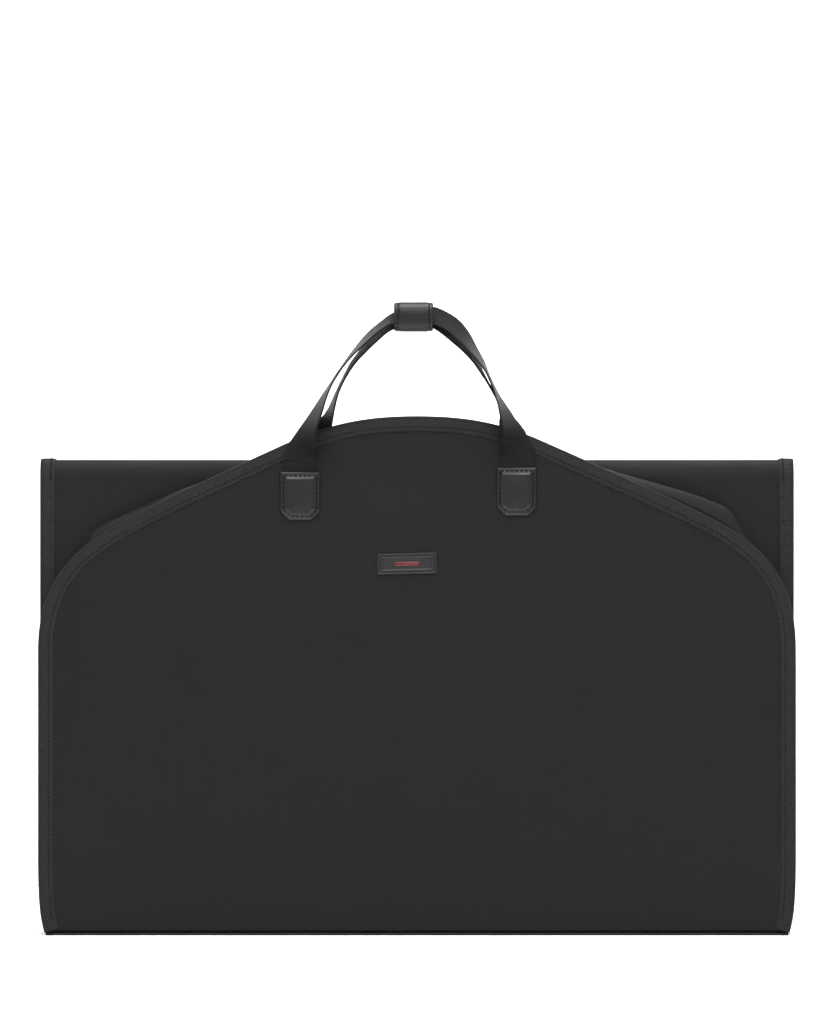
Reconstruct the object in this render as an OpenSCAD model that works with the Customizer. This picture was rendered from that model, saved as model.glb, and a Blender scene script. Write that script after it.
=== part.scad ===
// Soft garment bag folded in three and stood on its bottom fold.
// X runs across the bag, Y from the front face to the back, Z up from the floor.
// Each of the three sections is a flat sleeve: a plain cover on one side, a zipped
// face on the other and a narrow gusset between them. The front section folds down
// forwards, the middle one backwards, and the end section hangs behind the middle
// one from the top fold.

/* [Folded bag] */
// Width of the folded bag
bag_w = 577; // [480:1:640]
// Height of the crest of the front section
crest_h = 395.5; // [388:0.5:425]
// Height of the top fold at the back
fold_h = 363; // [357:0.5:366]
// Thickness of one section, cover to zipped face
section_t = 10; // [8:0.5:14]
// Thickness of the cover cloth with its lining
cloth_t = 1.2; // [0.8:0.1:2]
// Space between the front and the middle section
front_gap = 4.5; // [4:0.1:8]
// Space between the middle and the end section
back_gap = 1.5; // [1:0.1:4]
// Thickness of the two fold strips
strip_t = 1.8; // [1.4:0.1:2.6]

/* [Shoulders] */
// Half width of the rounded crest
crest_half = 100; // [80:1:115]
// Drop from the crest to the start of the straight slope
crest_drop = 21; // [16:0.5:26]
// Distance from the middle to the start of the shoulder curve
slope_half = 180; // [160:1:200]
// Drop from the crest to the start of the shoulder curve
slope_drop = 56.5; // [48:0.5:64]
// Height where the shoulder curve meets the straight side
side_h = 217; // [180:1:235]
// How far the bottom corners are drawn in
foot_in = 5; // [0:0.5:10]

/* [Edge binding] */
// Visible width of the binding tape
binding_w = 11; // [8:0.5:14]
// Thickness of the binding tape
binding_t = 0.6; // [0.4:0.1:1]
// Width of the hanger slot in the crest
hanger_slot_w = 64; // [50:1:90]
// Depth of the slot's binding
slot_binding_d = 3; // [2:0.5:5]

/* [Zip] */
// Width of the opening between the two halves of a zipped face
zip_gap = 28; // [24:1:36]
// Width of the closed coil
coil_w = 6; // [5:0.5:8]
// Thickness of the coil
coil_t = 1.8; // [1.4:0.1:2.4]
// Thickness of the zip tape
tape_t = 0.8; // [0.5:0.1:1.1]
// Height of the slider's pin at rest
slider_z = 36; // [34:1:60]
// Width of the slider
slider_w = 9; // [8.5:0.5:12]
// Length of the slider
slider_l = 14; // [12:0.5:18]
// Thickness of the slider's plate
slider_t = 1.2; // [1:0.1:1.6]
// Length of the pull below its pin
pull_l = 24; // [18:1:26]
// Width of the pull
pull_w = 7; // [5:0.5:9]
// Thickness of the pull
pull_t = 1.4; // [1:0.1:1.8]
// Radius of the pin that carries the pull
pin_r = 0.75; // [0.6:0.05:0.9]

/* [Handles] */
// Width of the webbing
web_w = 25; // [20:0.5:30]
// Thickness of the webbing
web_t = 1.6; // [1.2:0.1:2]
// Middle of the handle pair, measured from the middle of the bag
handle_x = -6.6; // [-12:0.1:0]
// Half the distance between the two ends of a handle
handle_half = 82.5; // [70:0.5:90]
// Rise of the middle of the wrap above the crest
wrap_rise = 76.1; // [65:0.1:95]
// Middle of the wrap, measured from the middle of the bag
wrap_x = -2.6; // [-8:0.1:0]
// Length of the wrap along the webbing
wrap_l = 30; // [24:1:40]
// Height of the wrap
wrap_h = 22.2; // [20.5:0.1:26]
// Depth of the closed wrap
wrap_d = 14; // [12:0.5:18]
// Width of the webbing where it is rolled inside the wrap
rolled_w = 17.2; // [15:0.1:17.2]
// Largest twist of the webbing between patch and wrap, in degrees
web_twist = 78; // [60:1:85]
// How far the rear handle's arch is drawn in under the front one
rear_inset = 13; // [8:1:16]

/* [Patches] */
// Width of a leather patch
patch_w = 30.6; // [28:0.2:36]
// Height of a leather patch
patch_h = 37.5; // [30:0.5:42]
// Size of the cut lower corners
patch_cut = 6.7; // [3:0.1:9]
// Thickness of the leather over the webbing
leather_t = 1.8; // [1.4:0.1:2]
// Drop from the crest to the top edge of the front patches
patch_drop = 40.2; // [38:0.1:46]

/* [Badge] */
// Length of the badge
badge_w = 46.4; // [40:0.2:52]
// Height of the badge
badge_h = 16.2; // [12:0.2:20]
// Drop from the crest to the middle of the badge
badge_drop = 112.1; // [96:0.1:155]
// Place of the badge across the bag
badge_x = -7.65; // [-12:0.05:12]
// Thickness of the badge's base
badge_t = 1.6; // [1:0.1:2]
// Height of the raised plate and of the mark on it
badge_step = 0.5; // [0.3:0.1:0.8]
// Tilt of the badge in degrees
badge_tilt = 1.5; // [-3:0.1:3]

/* [Hidden] */

// heights of the wrap, the front patches and the badge, all carried by the crest
wrap_z = crest_h + wrap_rise;
patch_top = crest_h - patch_drop;
badge_z = crest_h - badge_drop;

clear = 0.3;
$fn = 48;

half_w = bag_w / 2;
// planes from front to back; the middle section's zipped face is the reference, set so
// that the pull at the back and the turned webbing at the front reach equally far
middle_y = 6;
middle_back_y = middle_y + section_t;
front_y = middle_y - front_gap - section_t;
front_back_y = front_y + section_t;
end_y = middle_back_y + back_gap;
end_back_y = end_y + section_t;
inner_t = section_t - 2 * cloth_t;

// heights that the folds leave to the sections
low_z = strip_t + clear;
high_z = fold_h - strip_t - clear;

// curve through four control points
function bezier(p, n) = [for (i = [0:n]) let (t = i / n, u = 1 - t)
    u * u * u * p[0] + 3 * u * u * t * p[1] + 3 * u * t * t * p[2] + t * t * t * p[3]];

function smooth(a, b, v) = let (t = min(1, max(0, (v - a) / (b - a)))) t * t * (3 - 2 * t);

// right half of the front section's outline, from the crest down to the fold
crest_curve = bezier([[0, crest_h], [crest_half * 0.45, crest_h],
    [crest_half * 0.7, crest_h - crest_drop * 0.36],
    [crest_half, crest_h - crest_drop]], 10);
shoulder_curve = bezier([[slope_half, crest_h - slope_drop],
    [slope_half + 56, crest_h - slope_drop - 26.5],
    [half_w + 0.5, side_h + 79], [half_w, side_h]], 14);
foot_curve = [[half_w, 55], [half_w - foot_in * 0.35, 22], [half_w - foot_in, low_z]];
half_outline = concat(crest_curve, shoulder_curve, foot_curve);
count = len(half_outline);
front_outline = concat(half_outline,
    [for (i = [count - 1:-1:1]) [-half_outline[i].x, half_outline[i].y]]);

// a flat outline in X and Z, given thickness t from the plane y backwards
module at_y(y, t) translate([0, y + t, 0]) rotate([90, 0, 0]) linear_extrude(t) children();

module front_shape() polygon(front_outline);
module side_mask(side, from) translate([side > 0 ? from : -2 * bag_w - from, -bag_w])
    square([2 * bag_w, 3 * bag_w]);

// ---- cloth colours
module cloth() color("#2e2e2d") children();
module lining() color("#1f1f20") children();
module trim() color("#262626") children();
module leather() color("#3b3b3a") children();
module metal() color("#55565a") children();

// ---- bottom fold: the strip that the bag stands on
module bottom_strip(x0, x1, z0, z1)
    translate([x0, front_y, z0]) cube([x1 - x0, middle_back_y - front_y, z1 - z0]);
fold_inner = half_w - binding_w;
foot_half = half_w - foot_in;
module bottom_fold() cloth() bottom_strip(-fold_inner, fold_inner, 0, strip_t / 2);
module bottom_fold_lining() lining()
    bottom_strip(-fold_inner, fold_inner, strip_t / 2, strip_t);
module bottom_binding(side) trim()
    bottom_strip(min(side * fold_inner, side * foot_half),
                 max(side * fold_inner, side * foot_half), 0, strip_t);

// ---- front section
module front_cover() cloth() at_y(front_y, cloth_t) front_shape();

module front_binding() trim() at_y(front_y - binding_t, binding_t) difference() {
    front_shape();
    // the bottom edge runs on into the fold and has no binding
    offset(delta = -binding_w) union() {
        front_shape();
        translate([-foot_half, low_z - 2 * binding_w]) square([2 * foot_half, 3 * binding_w]);
    }
}

module front_gusset(side) cloth() at_y(front_y + cloth_t, inner_t) intersection() {
    difference() {
        front_shape();
        offset(delta = -cloth_t) front_shape();
        translate([-fold_inner, low_z - 1]) square([2 * fold_inner, cloth_t + 2]);
    }
    side_mask(side, hanger_slot_w / 2);
}

module front_zip_face(side) cloth() at_y(front_back_y - cloth_t, cloth_t) intersection() {
    front_shape();
    side_mask(side, zip_gap / 2);
}

slot_top = crest_h - 6;
// zipped faces: two tapes and a coil up the middle, in the plane y, facing out along dir
module zip_tapes(y, dir, z0, z1) color("#1d1d1e") for (side = [-1, 1])
    translate([side > 0 ? coil_w / 2 : -zip_gap / 2,
               dir > 0 ? y - cloth_t : y + cloth_t - tape_t, z0])
        cube([(zip_gap - coil_w) / 2, tape_t, z1 - z0]);
module zip_coil(y, dir, z0, z1) color("#2a2a2c")
    translate([-coil_w / 2, dir > 0 ? y - cloth_t : y + cloth_t - coil_t, z0])
        cube([coil_w, coil_t, z1 - z0]);

zip_top = slot_top - 14;
module front_zip_tapes() zip_tapes(front_back_y, 1, low_z, zip_top);
module front_zip_coil() zip_coil(front_back_y, 1, low_z, zip_top);

// the slot that the hanger's hook comes out of
module hanger_slot_binding() trim()
    translate([0, front_y + section_t / 2, slot_top - slot_binding_d / 2]) difference() {
        cube([hanger_slot_w, inner_t, slot_binding_d], center = true);
        cube([hanger_slot_w - 4 * binding_t, inner_t - 2 * binding_t, 2 * slot_binding_d],
             center = true);
    }

// ---- patches and strap ends
module patch_shape() polygon([
    [-patch_w / 2, 0], [patch_w / 2, 0], [patch_w / 2, patch_cut - patch_h],
    [patch_w / 2 - patch_cut, -patch_h], [patch_cut - patch_w / 2, -patch_h],
    [-patch_w / 2, patch_cut - patch_h]]);

patch_seam = 6;
tail_l = patch_h - patch_seam;
// a leather patch over the end of a strap, standing proud of the plane y towards -Y
module patch(x, y, top) leather() difference() {
    translate([x, 0, top]) at_y(y - web_t - leather_t, web_t + leather_t) patch_shape();
    translate([x - web_w / 2, y - web_t, top - tail_l]) cube([web_w, 2 * web_t, patch_h]);
}

// middle of the webbing where it bends: level with the face of the front patches, and
// above the top fold at the back, clear of the fold's strip when that stands up
front_hinge_y = front_y - leather_t - web_t / 2;
front_hinge_z = patch_top + 6.2;
rear_hinge_y = middle_y - web_t / 2 - strip_t - 0.4;
rear_hinge_z = fold_h + 1.5;
rear_patch_top = fold_h - 8;
// height where the sewn end has reached the depth of its hinge
front_knee_z = front_hinge_z - clear;
rear_knee_z = high_z - 0.6;

module strap_end(x, y, top, knee_z, hinge_y, hinge_z) color("#333332") {
    translate([x - web_w / 2, y - web_t, top - tail_l]) cube([web_w, web_t, tail_l]);
    hull() {
        translate([x - web_w / 2, y - web_t, top - 0.01]) cube([web_w, web_t, 0.01]);
        translate([x - web_w / 2, hinge_y - web_t / 2, knee_z]) cube([web_w, web_t, 0.01]);
    }
    translate([x - web_w / 2, hinge_y - web_t / 2, knee_z])
        cube([web_w, web_t, hinge_z - clear + 0.01 - knee_z]);
}

// ---- badge, turned by its own small tilt
module on_badge(out) translate([badge_x, front_y - out, badge_z])
    rotate([0, -badge_tilt, 0]) rotate([90, 0, 0]) children();
module plate(w, h, t, r) linear_extrude(t) hull() for (i = [-1, 1], j = [-1, 1])
    translate([i * (w / 2 - r), j * (h / 2 - r)]) circle(r);
module badge_base() color("#1f1f20") on_badge(0) plate(badge_w, badge_h, badge_t, 2.4);
rivet_x = badge_w / 2 - 1.7;
rivet_z = badge_h / 2 - 1.7;
module badge_plate() color("#2b2b2c") on_badge(badge_t)
    plate(badge_w - 5.4, badge_h - 5.2, badge_step, 1.6);
module badge_mark() color("#7c2226") on_badge(badge_t + badge_step) linear_extrude(0.3)
    polygon([[-9, 0], [-6, 1.4], [6, 1.4], [9, 0], [6, -1.4], [-6, -1.4]]);
module badge_rivets() metal() on_badge(badge_t) for (i = [-1, 1], j = [-1, 1])
    translate([i * rivet_x, j * rivet_z]) cylinder(h = 0.3, r = 0.6, $fn = 24);

// ---- middle and end sections: plain rectangles between the two folds
module panel(y, x0, x1, z0 = low_z)
    translate([x0, y, z0]) cube([x1 - x0, cloth_t, high_z - z0]);
module gusset(y, side) cloth()
    translate([side > 0 ? half_w - cloth_t : -half_w, y + cloth_t, low_z])
        cube([cloth_t, inner_t, high_z - low_z]);
module half_face(y, side) cloth() panel(y, side > 0 ? zip_gap / 2 : -half_w,
                                         side > 0 ? half_w : -zip_gap / 2);
module edge_binding(y, side) trim()
    translate([side > 0 ? fold_inner : -half_w, y, low_z])
        cube([binding_w, binding_t, high_z - low_z]);

module middle_cover() cloth() panel(middle_back_y - cloth_t, -half_w, half_w);
module end_cover() cloth() panel(end_y, -half_w, half_w);

// the zip runs over the top fold and down the end section
stop_z = low_z + cloth_t + 6;
module end_hem() cloth() translate([-half_w + cloth_t, end_y + cloth_t, low_z])
    cube([2 * (half_w - cloth_t), inner_t, cloth_t]);
module zip_bottom_stop() metal()
    translate([-coil_w / 2 - 1, end_back_y - cloth_t + coil_t, stop_z])
        cube([coil_w + 2, 0.8, 3]);

// ---- top fold
module top_strip(x0, x1) translate([min(x0, x1), middle_y, fold_h - strip_t])
    cube([abs(x1 - x0), end_back_y - middle_y, strip_t]);
module top_fold(side) cloth() top_strip(side * zip_gap / 2, side * fold_inner);
module top_binding(side) trim() top_strip(side * fold_inner, side * half_w);
module top_fold_zip() color("#1d1d1e") top_strip(-zip_gap / 2, zip_gap / 2);

// ---- zip slider and pull on the end section
face_out = end_back_y - cloth_t + coil_t;
plate_y = face_out + clear;
eye_r = 1.7;
pin_y = plate_y + slider_t + eye_r;
module zip_slider() metal() translate([0, 0, slider_z]) {
    // plate over the coil, with a flange down each side of it
    translate([-slider_w / 2, plate_y, -slider_l / 2]) cube([slider_w, slider_t, slider_l]);
    for (side = [-1, 1]) translate([side > 0 ? coil_w / 2 + clear : -slider_w / 2,
                                    end_back_y - cloth_t + tape_t + clear, -slider_l / 2])
        cube([slider_w / 2 - coil_w / 2 - clear, plate_y - end_back_y + cloth_t - tape_t,
              slider_l]);
    // two posts and the pin between them
    for (side = [-1, 1]) translate([side > 0 ? pull_w / 2 - 1.2 : -pull_w / 2 + 0.2,
                                    plate_y + slider_t - 0.1, -1.2])
        cube([1, 2.4, 2.4]);
    translate([-pull_w / 2 + 0.7, pin_y, 0]) rotate([0, 90, 0])
        cylinder(h = pull_w - 1.4, r = pin_r);
}
eye_w = pull_w - 2.4 - 2 * clear;
module zip_pull() metal() translate([0, pin_y, slider_z]) difference() {
    union() {
        translate([-eye_w / 2, 0, 0]) rotate([0, 90, 0]) cylinder(h = eye_w, r = eye_r - 0.2);
        translate([-eye_w / 2, -pull_t / 2, -4]) cube([eye_w, pull_t, 4]);
        translate([-pull_w / 2, -pull_t / 2, -pull_l]) cube([pull_w, pull_t, pull_l - 3.5]);
    }
    translate([-pull_w, 0, 0]) rotate([0, 90, 0]) cylinder(h = 2 * pull_w, r = pin_r + 0.08);
    translate([-pull_w / 4, -pull_t, -pull_l + 3]) cube([pull_w / 2, 2 * pull_t, pull_l * 0.4]);
}

// ---- handles: flat webbing swept along an arch, turned edge-on on the way up
wrap_y = front_y;
steps = 20;
// heights between which each webbing turns edge-on: the front one over its patch, the
// rear one only above the crest of the front section
front_turn = [patch_top + 10, patch_top + 42];
rear_turn = [crest_h + 1, crest_h + 17];

// arch in X and Z: a curve up each side, upright at its foot, and a straight run
// through the wrap; inset draws the rear arch in under the front one
function arch(hinge_z, inset) = let (
    left = handle_x - handle_half, right = handle_x + handle_half,
    w0 = wrap_x - wrap_l / 2 - 2, w1 = wrap_x + wrap_l / 2 + 2) concat(
    bezier([[left, hinge_z], [left, wrap_z - 80],
            [left + 37 + inset, wrap_z - 20 - inset * 0.5], [w0, wrap_z]], steps),
    bezier([[w1, wrap_z], [right - 22 - inset, wrap_z - 20 - inset * 0.5],
            [right, wrap_z - 80], [right, hinge_z]], steps));

// share of the full twist at a point: none at the hinge line and none in the wrap
function turned(p, z0, z1) =
    smooth(z0, z1, p[1]) * smooth(wrap_l / 2 + 2, wrap_l / 2 + 26, abs(p[0] - wrap_x));
function width_at(p) = rolled_w
    + (web_w - rolled_w) * smooth(wrap_l / 2 + 1, wrap_l / 2 + 20, abs(p[0] - wrap_x));

// share of the way from the crest up to the wrap
function rise(p) = smooth(crest_h, wrap_z, p[1]);

// depth of the webbing's middle; rear = 0 for the front handle, 1 for the rear one. Both
// turn with one edge held clear of what is behind them, then close up in the wrap.
function depth_at(p, q, rear) = let (
    held = rear == 1 ? 1 : 1 - smooth(front_turn[1] - 17, crest_h + 35, p[1]),
    base = (rear == 1 ? rear_hinge_y : front_hinge_y)
        - held * (web_w - web_t) / 2 * sin(web_twist * q))
    base + (wrap_y - base) * rise(p);

// distance of the webbing's middle from the middle of the pair, along its thickness
function spread(p, rear) = (rear == 1 ? 0.75 : -0.75) * web_t * rise(p)
    * (1 + 2.5 * smooth(wrap_l / 2 + 2, wrap_l / 2 + 12, abs(p[0] - wrap_x)));

function ring(path, i, z0, z1, rear) = let (
    p = path[i], last = len(path) - 1,
    d = path[min(i + 1, last)] - path[max(i - 1, 0)],
    t = i == 0 ? [0, 1] : i == last ? [0, -1]
        : i == steps || i == steps + 1 ? [1, 0] : d / norm(d),
    q = turned(p, z0, z1), a = web_twist * q, w = width_at(p) / 2, h = web_t / 2,
    n = [-t[1], 0, t[0]], wide = n * cos(a) + [0, sin(a), 0],
    thick = -n * sin(a) + [0, cos(a), 0],
    c = [p[0], depth_at(p, q, rear), p[1]] + spread(p, rear) * thick)
    [c - w * wide - h * thick, c + w * wide - h * thick,
     c + w * wide + h * thick, c - w * wide + h * thick];

module webbing(path, z0, z1, rear) {
    n = len(path);
    points = [for (i = [0:n - 1]) each ring(path, i, z0, z1, rear)];
    sides = [for (i = [0:n - 2], k = [0:3]) let (a = 4 * i + k, b = 4 * i + (k + 1) % 4)
        each [[a, b, b + 4], [a, b + 4, a + 4]]];
    ends = [[3, 2, 1, 0], [4 * n - 4, 4 * n - 3, 4 * n - 2, 4 * n - 1]];
    color("#333332") polyhedron(points, concat(sides, ends), convexity = 8);
}

module front_webbing()
    webbing(arch(front_hinge_z, 0), front_turn[0], front_turn[1], 0);
module rear_webbing()
    webbing(arch(rear_hinge_z, rear_inset), rear_turn[0], rear_turn[1], 1);

// ---- wrap: a padded leather grip in two halves round both handles
cavity_h = rolled_w + 0.4;
cavity_front = 1.25 * web_t;
cavity_back = 1.25 * web_t + clear;
magnet_l = 20;
magnet_h = 1.3;
magnet_d = 2.5;
module grip_shape() hull() for (i = [-1, 1], j = [-1, 1])
    translate([i * (wrap_d / 2 - 5), j * (wrap_h / 2 - 5)]) circle(5, $fn = 32);
module along_wrap() translate([wrap_x - wrap_l / 2, wrap_y, wrap_z])
    rotate([90, 0, 90]) linear_extrude(wrap_l) children();
module magnet(dir) translate([wrap_x - magnet_l / 2,
    wrap_y + (dir > 0 ? clear : -clear - magnet_d),
    wrap_z - wrap_h / 2 + (wrap_h - cavity_h - 2 * magnet_h) / 4])
    cube([magnet_l, magnet_d, magnet_h]);
module half_grip(dir) difference() {
    along_wrap() difference() {
        grip_shape();
        translate([-cavity_front, -cavity_h / 2]) square([cavity_front + cavity_back, cavity_h]);
        translate([dir > 0 ? -wrap_d - clear / 2 : clear / -2, -wrap_h])
            square([wrap_d + clear, 2 * wrap_h]);
    }
    magnet(dir);
}
module wrap_front() leather() half_grip(-1);
module wrap_flap() leather() half_grip(1);
module wrap_magnet_front() metal() magnet(-1);
module wrap_magnet_flap() metal() magnet(1);

left_x = handle_x - handle_half;
right_x = handle_x + handle_half;

bottom_fold();
bottom_fold_lining();
bottom_binding(-1);  // bottom_binding_left
bottom_binding(1);  // bottom_binding_right
front_cover();
front_binding();
front_gusset(-1);  // front_gusset_left
front_gusset(1);  // front_gusset_right
front_zip_face(-1);  // front_zip_face_left
front_zip_face(1);  // front_zip_face_right
front_zip_tapes();
front_zip_coil();
hanger_slot_binding();
patch(left_x, front_y, patch_top);  // front_patch_left
patch(right_x, front_y, patch_top);  // front_patch_right
strap_end(left_x, front_y, patch_top, front_knee_z, front_hinge_y, front_hinge_z);  // front_strap_end_left
strap_end(right_x, front_y, patch_top, front_knee_z, front_hinge_y, front_hinge_z);  // front_strap_end_right
badge_base();
badge_plate();
badge_mark();
badge_rivets();
middle_cover();
gusset(middle_y, -1);  // middle_gusset_left
gusset(middle_y, 1);  // middle_gusset_right
half_face(middle_y, -1);  // middle_zip_face_left
half_face(middle_y, 1);  // middle_zip_face_right
edge_binding(middle_y - binding_t, -1);  // middle_binding_left
edge_binding(middle_y - binding_t, 1);  // middle_binding_right
zip_tapes(middle_y, -1, low_z, high_z);  // middle_zip_tapes
zip_coil(middle_y, -1, low_z, high_z);  // middle_zip_coil
patch(left_x, middle_y, rear_patch_top);  // rear_patch_left
patch(right_x, middle_y, rear_patch_top);  // rear_patch_right
strap_end(left_x, middle_y, rear_patch_top, rear_knee_z, rear_hinge_y, rear_hinge_z);  // rear_strap_end_left
strap_end(right_x, middle_y, rear_patch_top, rear_knee_z, rear_hinge_y, rear_hinge_z);  // rear_strap_end_right
top_fold(-1);  // top_fold_left
top_fold(1);  // top_fold_right
top_binding(-1);  // top_binding_left
top_binding(1);  // top_binding_right
top_fold_zip();
end_cover();
gusset(end_y, -1);  // end_gusset_left
gusset(end_y, 1);  // end_gusset_right
half_face(end_back_y - cloth_t, -1);  // end_zip_face_left
half_face(end_back_y - cloth_t, 1);  // end_zip_face_right
edge_binding(end_back_y, -1);  // end_binding_left
edge_binding(end_back_y, 1);  // end_binding_right
end_hem();
zip_tapes(end_back_y, 1, low_z, high_z);  // end_zip_tapes
zip_coil(end_back_y, 1, low_z, high_z);  // end_zip_coil
zip_bottom_stop();
zip_slider();
zip_pull();
front_webbing();
wrap_front();
wrap_magnet_front();
wrap_flap();
wrap_magnet_flap();
rear_webbing();
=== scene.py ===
"""Looks of a folded garment bag: cloth, tape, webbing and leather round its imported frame."""
import math

import bmesh
import bpy
import numpy as np
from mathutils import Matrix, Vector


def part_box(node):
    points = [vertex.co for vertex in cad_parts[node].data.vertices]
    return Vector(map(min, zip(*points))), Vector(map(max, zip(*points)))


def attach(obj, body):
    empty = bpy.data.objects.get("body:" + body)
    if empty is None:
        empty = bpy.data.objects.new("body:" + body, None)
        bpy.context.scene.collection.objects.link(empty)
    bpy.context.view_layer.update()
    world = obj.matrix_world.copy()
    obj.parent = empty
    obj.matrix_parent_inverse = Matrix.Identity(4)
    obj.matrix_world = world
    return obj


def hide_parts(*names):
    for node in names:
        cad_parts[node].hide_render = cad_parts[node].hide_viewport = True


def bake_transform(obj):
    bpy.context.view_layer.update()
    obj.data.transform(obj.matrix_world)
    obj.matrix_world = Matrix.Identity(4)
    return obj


bl_info = {
    "name": "Folded garment bag",
    "version": (1, 0, 0),
    "blender": (4, 5, 0),
    "location": "View3D > Sidebar > Garment Bag",
    "description": "Builds the cloth, bindings, handles, zip and badge of a folded garment bag",
    "category": "Object",
}

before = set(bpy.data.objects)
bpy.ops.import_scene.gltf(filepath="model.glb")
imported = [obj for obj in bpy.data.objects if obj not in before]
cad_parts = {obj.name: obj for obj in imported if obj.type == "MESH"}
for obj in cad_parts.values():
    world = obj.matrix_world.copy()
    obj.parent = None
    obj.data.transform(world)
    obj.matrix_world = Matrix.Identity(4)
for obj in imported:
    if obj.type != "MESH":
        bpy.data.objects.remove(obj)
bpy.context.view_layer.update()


def low(node):
    """Lowest corner of a node of the frame, in metres."""
    return np.array(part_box(node)[0])


def high(node):
    """Highest corner of a node of the frame, in metres."""
    return np.array(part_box(node)[1])


# Places that the frame gives, all in metres
FRONT_Y = float(low("front_cover")[1])
FRONT_BACK_Y = float(high("front_zip_face_left")[1])
MIDDLE_Y = float(low("middle_zip_face_left")[1])
MIDDLE_BACK_Y = float(high("middle_cover")[1])
END_Y = float(low("end_cover")[1])
END_BACK_Y = float(high("end_zip_face_left")[1])
HALF_W = float(high("end_cover")[0])
FOOT_HALF = float(high("bottom_binding_right")[0])
LOW_Z = float(low("front_cover")[2])
CREST_Z = float(high("front_cover")[2])
FOLD_Z = float(high("top_fold_left")[2])
FOLD_LOW_Z = float(low("top_fold_left")[2])
STRIP_T = float(high("bottom_fold_lining")[2])
WRAP_LO, WRAP_HI = low("wrap_front"), high("wrap_front")
WRAP_X = float(WRAP_LO[0] + WRAP_HI[0]) / 2
WRAP_Z = float(WRAP_LO[2] + WRAP_HI[2]) / 2
WRAP_Y = float(high("wrap_front")[1])
MM = 0.001


# ------------------------------------------------------------------ sizes and colours
class BagSizes(bpy.types.PropertyGroup):
    """Sizes of the sewn work that a maker would change."""

    cloth: bpy.props.FloatProperty(
        name="Cloth", description="Thickness of the shell cloth with its lining",
        default=1.0 * MM, unit="LENGTH")
    ripple: bpy.props.FloatProperty(
        name="Ripple", description="Height of the soft waves in the cloth",
        default=0.9 * MM, unit="LENGTH")
    binding: bpy.props.FloatProperty(
        name="Binding", description="Visible width of the edge binding",
        default=float(high("middle_binding_right")[0] - low("middle_binding_right")[0]),
        unit="LENGTH")
    binding_bulge: bpy.props.FloatProperty(
        name="Binding bulge", description="How far the binding stands proud of the cloth",
        default=0.9 * MM, unit="LENGTH")
    stitch: bpy.props.FloatProperty(
        name="Stitch", description="Length of one stitch with the gap after it",
        default=3.6 * MM, unit="LENGTH")
    thread: bpy.props.FloatProperty(
        name="Thread", description="Thickness of the sewing thread",
        default=0.7 * MM, unit="LENGTH")
    webbing: bpy.props.FloatProperty(
        name="Webbing", description="Width of the handle webbing",
        default=float(high("front_strap_end_left")[0] - low("front_strap_end_left")[0]),
        unit="LENGTH")
    webbing_t: bpy.props.FloatProperty(
        name="Webbing thickness", description="Thickness of the handle webbing",
        default=1.6 * MM, unit="LENGTH")
    rib: bpy.props.FloatProperty(
        name="Rib", description="Spacing of the ribs across the webbing",
        default=2.4 * MM, unit="LENGTH")
    tooth: bpy.props.FloatProperty(
        name="Tooth", description="Spacing of the turns of the zip's coil",
        default=1.9 * MM, unit="LENGTH")


def colour(name, description, code):
    """A colour property whose default is an sRGB hex code."""
    value = tuple(int(code[i:i + 2], 16) / 255 for i in (1, 3, 5))
    return bpy.props.FloatVectorProperty(
        name=name, description=description, subtype="COLOR_GAMMA", size=3,
        min=0, max=1, default=value)


class BagColours(bpy.types.PropertyGroup):
    """Colours of the bag's finishes, as sRGB values."""

    nylon: colour("Nylon", "Shell cloth", "#141414")
    tape: colour("Binding tape", "Edge binding", "#191918")
    thread: colour("Thread", "Sewing thread", "#050505")
    webbing: colour("Webbing", "Handle webbing", "#151514")
    leather: colour("Leather", "Patches and wrap", "#171718")
    zip_tape: colour("Zip tape", "Woven tape of the zip", "#1c1c1d")
    coil: colour("Coil", "Nylon coil of the zip", "#242426")
    lining: colour("Lining", "Inside of the bag", "#202022")
    metal: colour("Metal", "Slider, pull and magnets", "#4a4b50")
    rivet: colour("Rivet", "Dots on the badge", "#060607")
    badge: colour("Badge", "Moulded badge", "#0c0c0d")
    enamel: colour("Enamel", "Mark on the badge", "#5c1119")
    floor: colour("Floor", "Floor and backdrop", "#fbfbfb")


def linear(rgb):
    """sRGB values or a hex code as linear red, green, blue and alpha."""
    if isinstance(rgb, str):
        rgb = [int(rgb[i:i + 2], 16) / 255 for i in (1, 3, 5)]
    c = np.array(rgb, float)
    c = np.where(c <= 0.04045, c / 12.92, ((c + 0.055) / 1.055) ** 2.4)
    return (*c.tolist(), 1.0)


# ------------------------------------------------------------------ meshes from arrays
def set_sizes():
    """The sizes set in the scene."""
    return bpy.context.scene.bag_sizes


def bezier(points, count):
    """Points of a cubic curve: the four control points weighted by the Bernstein terms."""
    t = np.linspace(0, 1, count)[:, None]
    p = np.asarray(points, float)
    u = 1 - t
    return u ** 3 * p[0] + 3 * u * u * t * p[1] + 3 * u * t * t * p[2] + t ** 3 * p[3]


def smooth(a, b, x):
    """0 below a, 1 above b, and a cubic ease between."""
    t = np.clip((np.asarray(x, float) - a) / (b - a), 0, 1)
    return t * t * (3 - 2 * t)


def run_along(path):
    """Distance along a path at each of its points."""
    gaps = np.linalg.norm(np.diff(path, axis=0), axis=1)
    return np.concatenate([[0], np.cumsum(gaps)])


def even(path, count):
    """The path resampled at equal steps of its length."""
    s = run_along(path)
    at = np.linspace(0, s[-1], count)
    return np.stack([np.interp(at, s, path[:, k]) for k in range(path.shape[1])], 1)


def length_of(path):
    """Length of a path."""
    return float(np.linalg.norm(np.diff(path, axis=0), axis=1).sum())


def unit(vectors):
    """The vectors brought to length one."""
    return vectors / np.linalg.norm(vectors, axis=1)[:, None]


def heading(path):
    """Unit direction of a path at each of its points."""
    return unit(np.gradient(path, axis=0))


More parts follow.
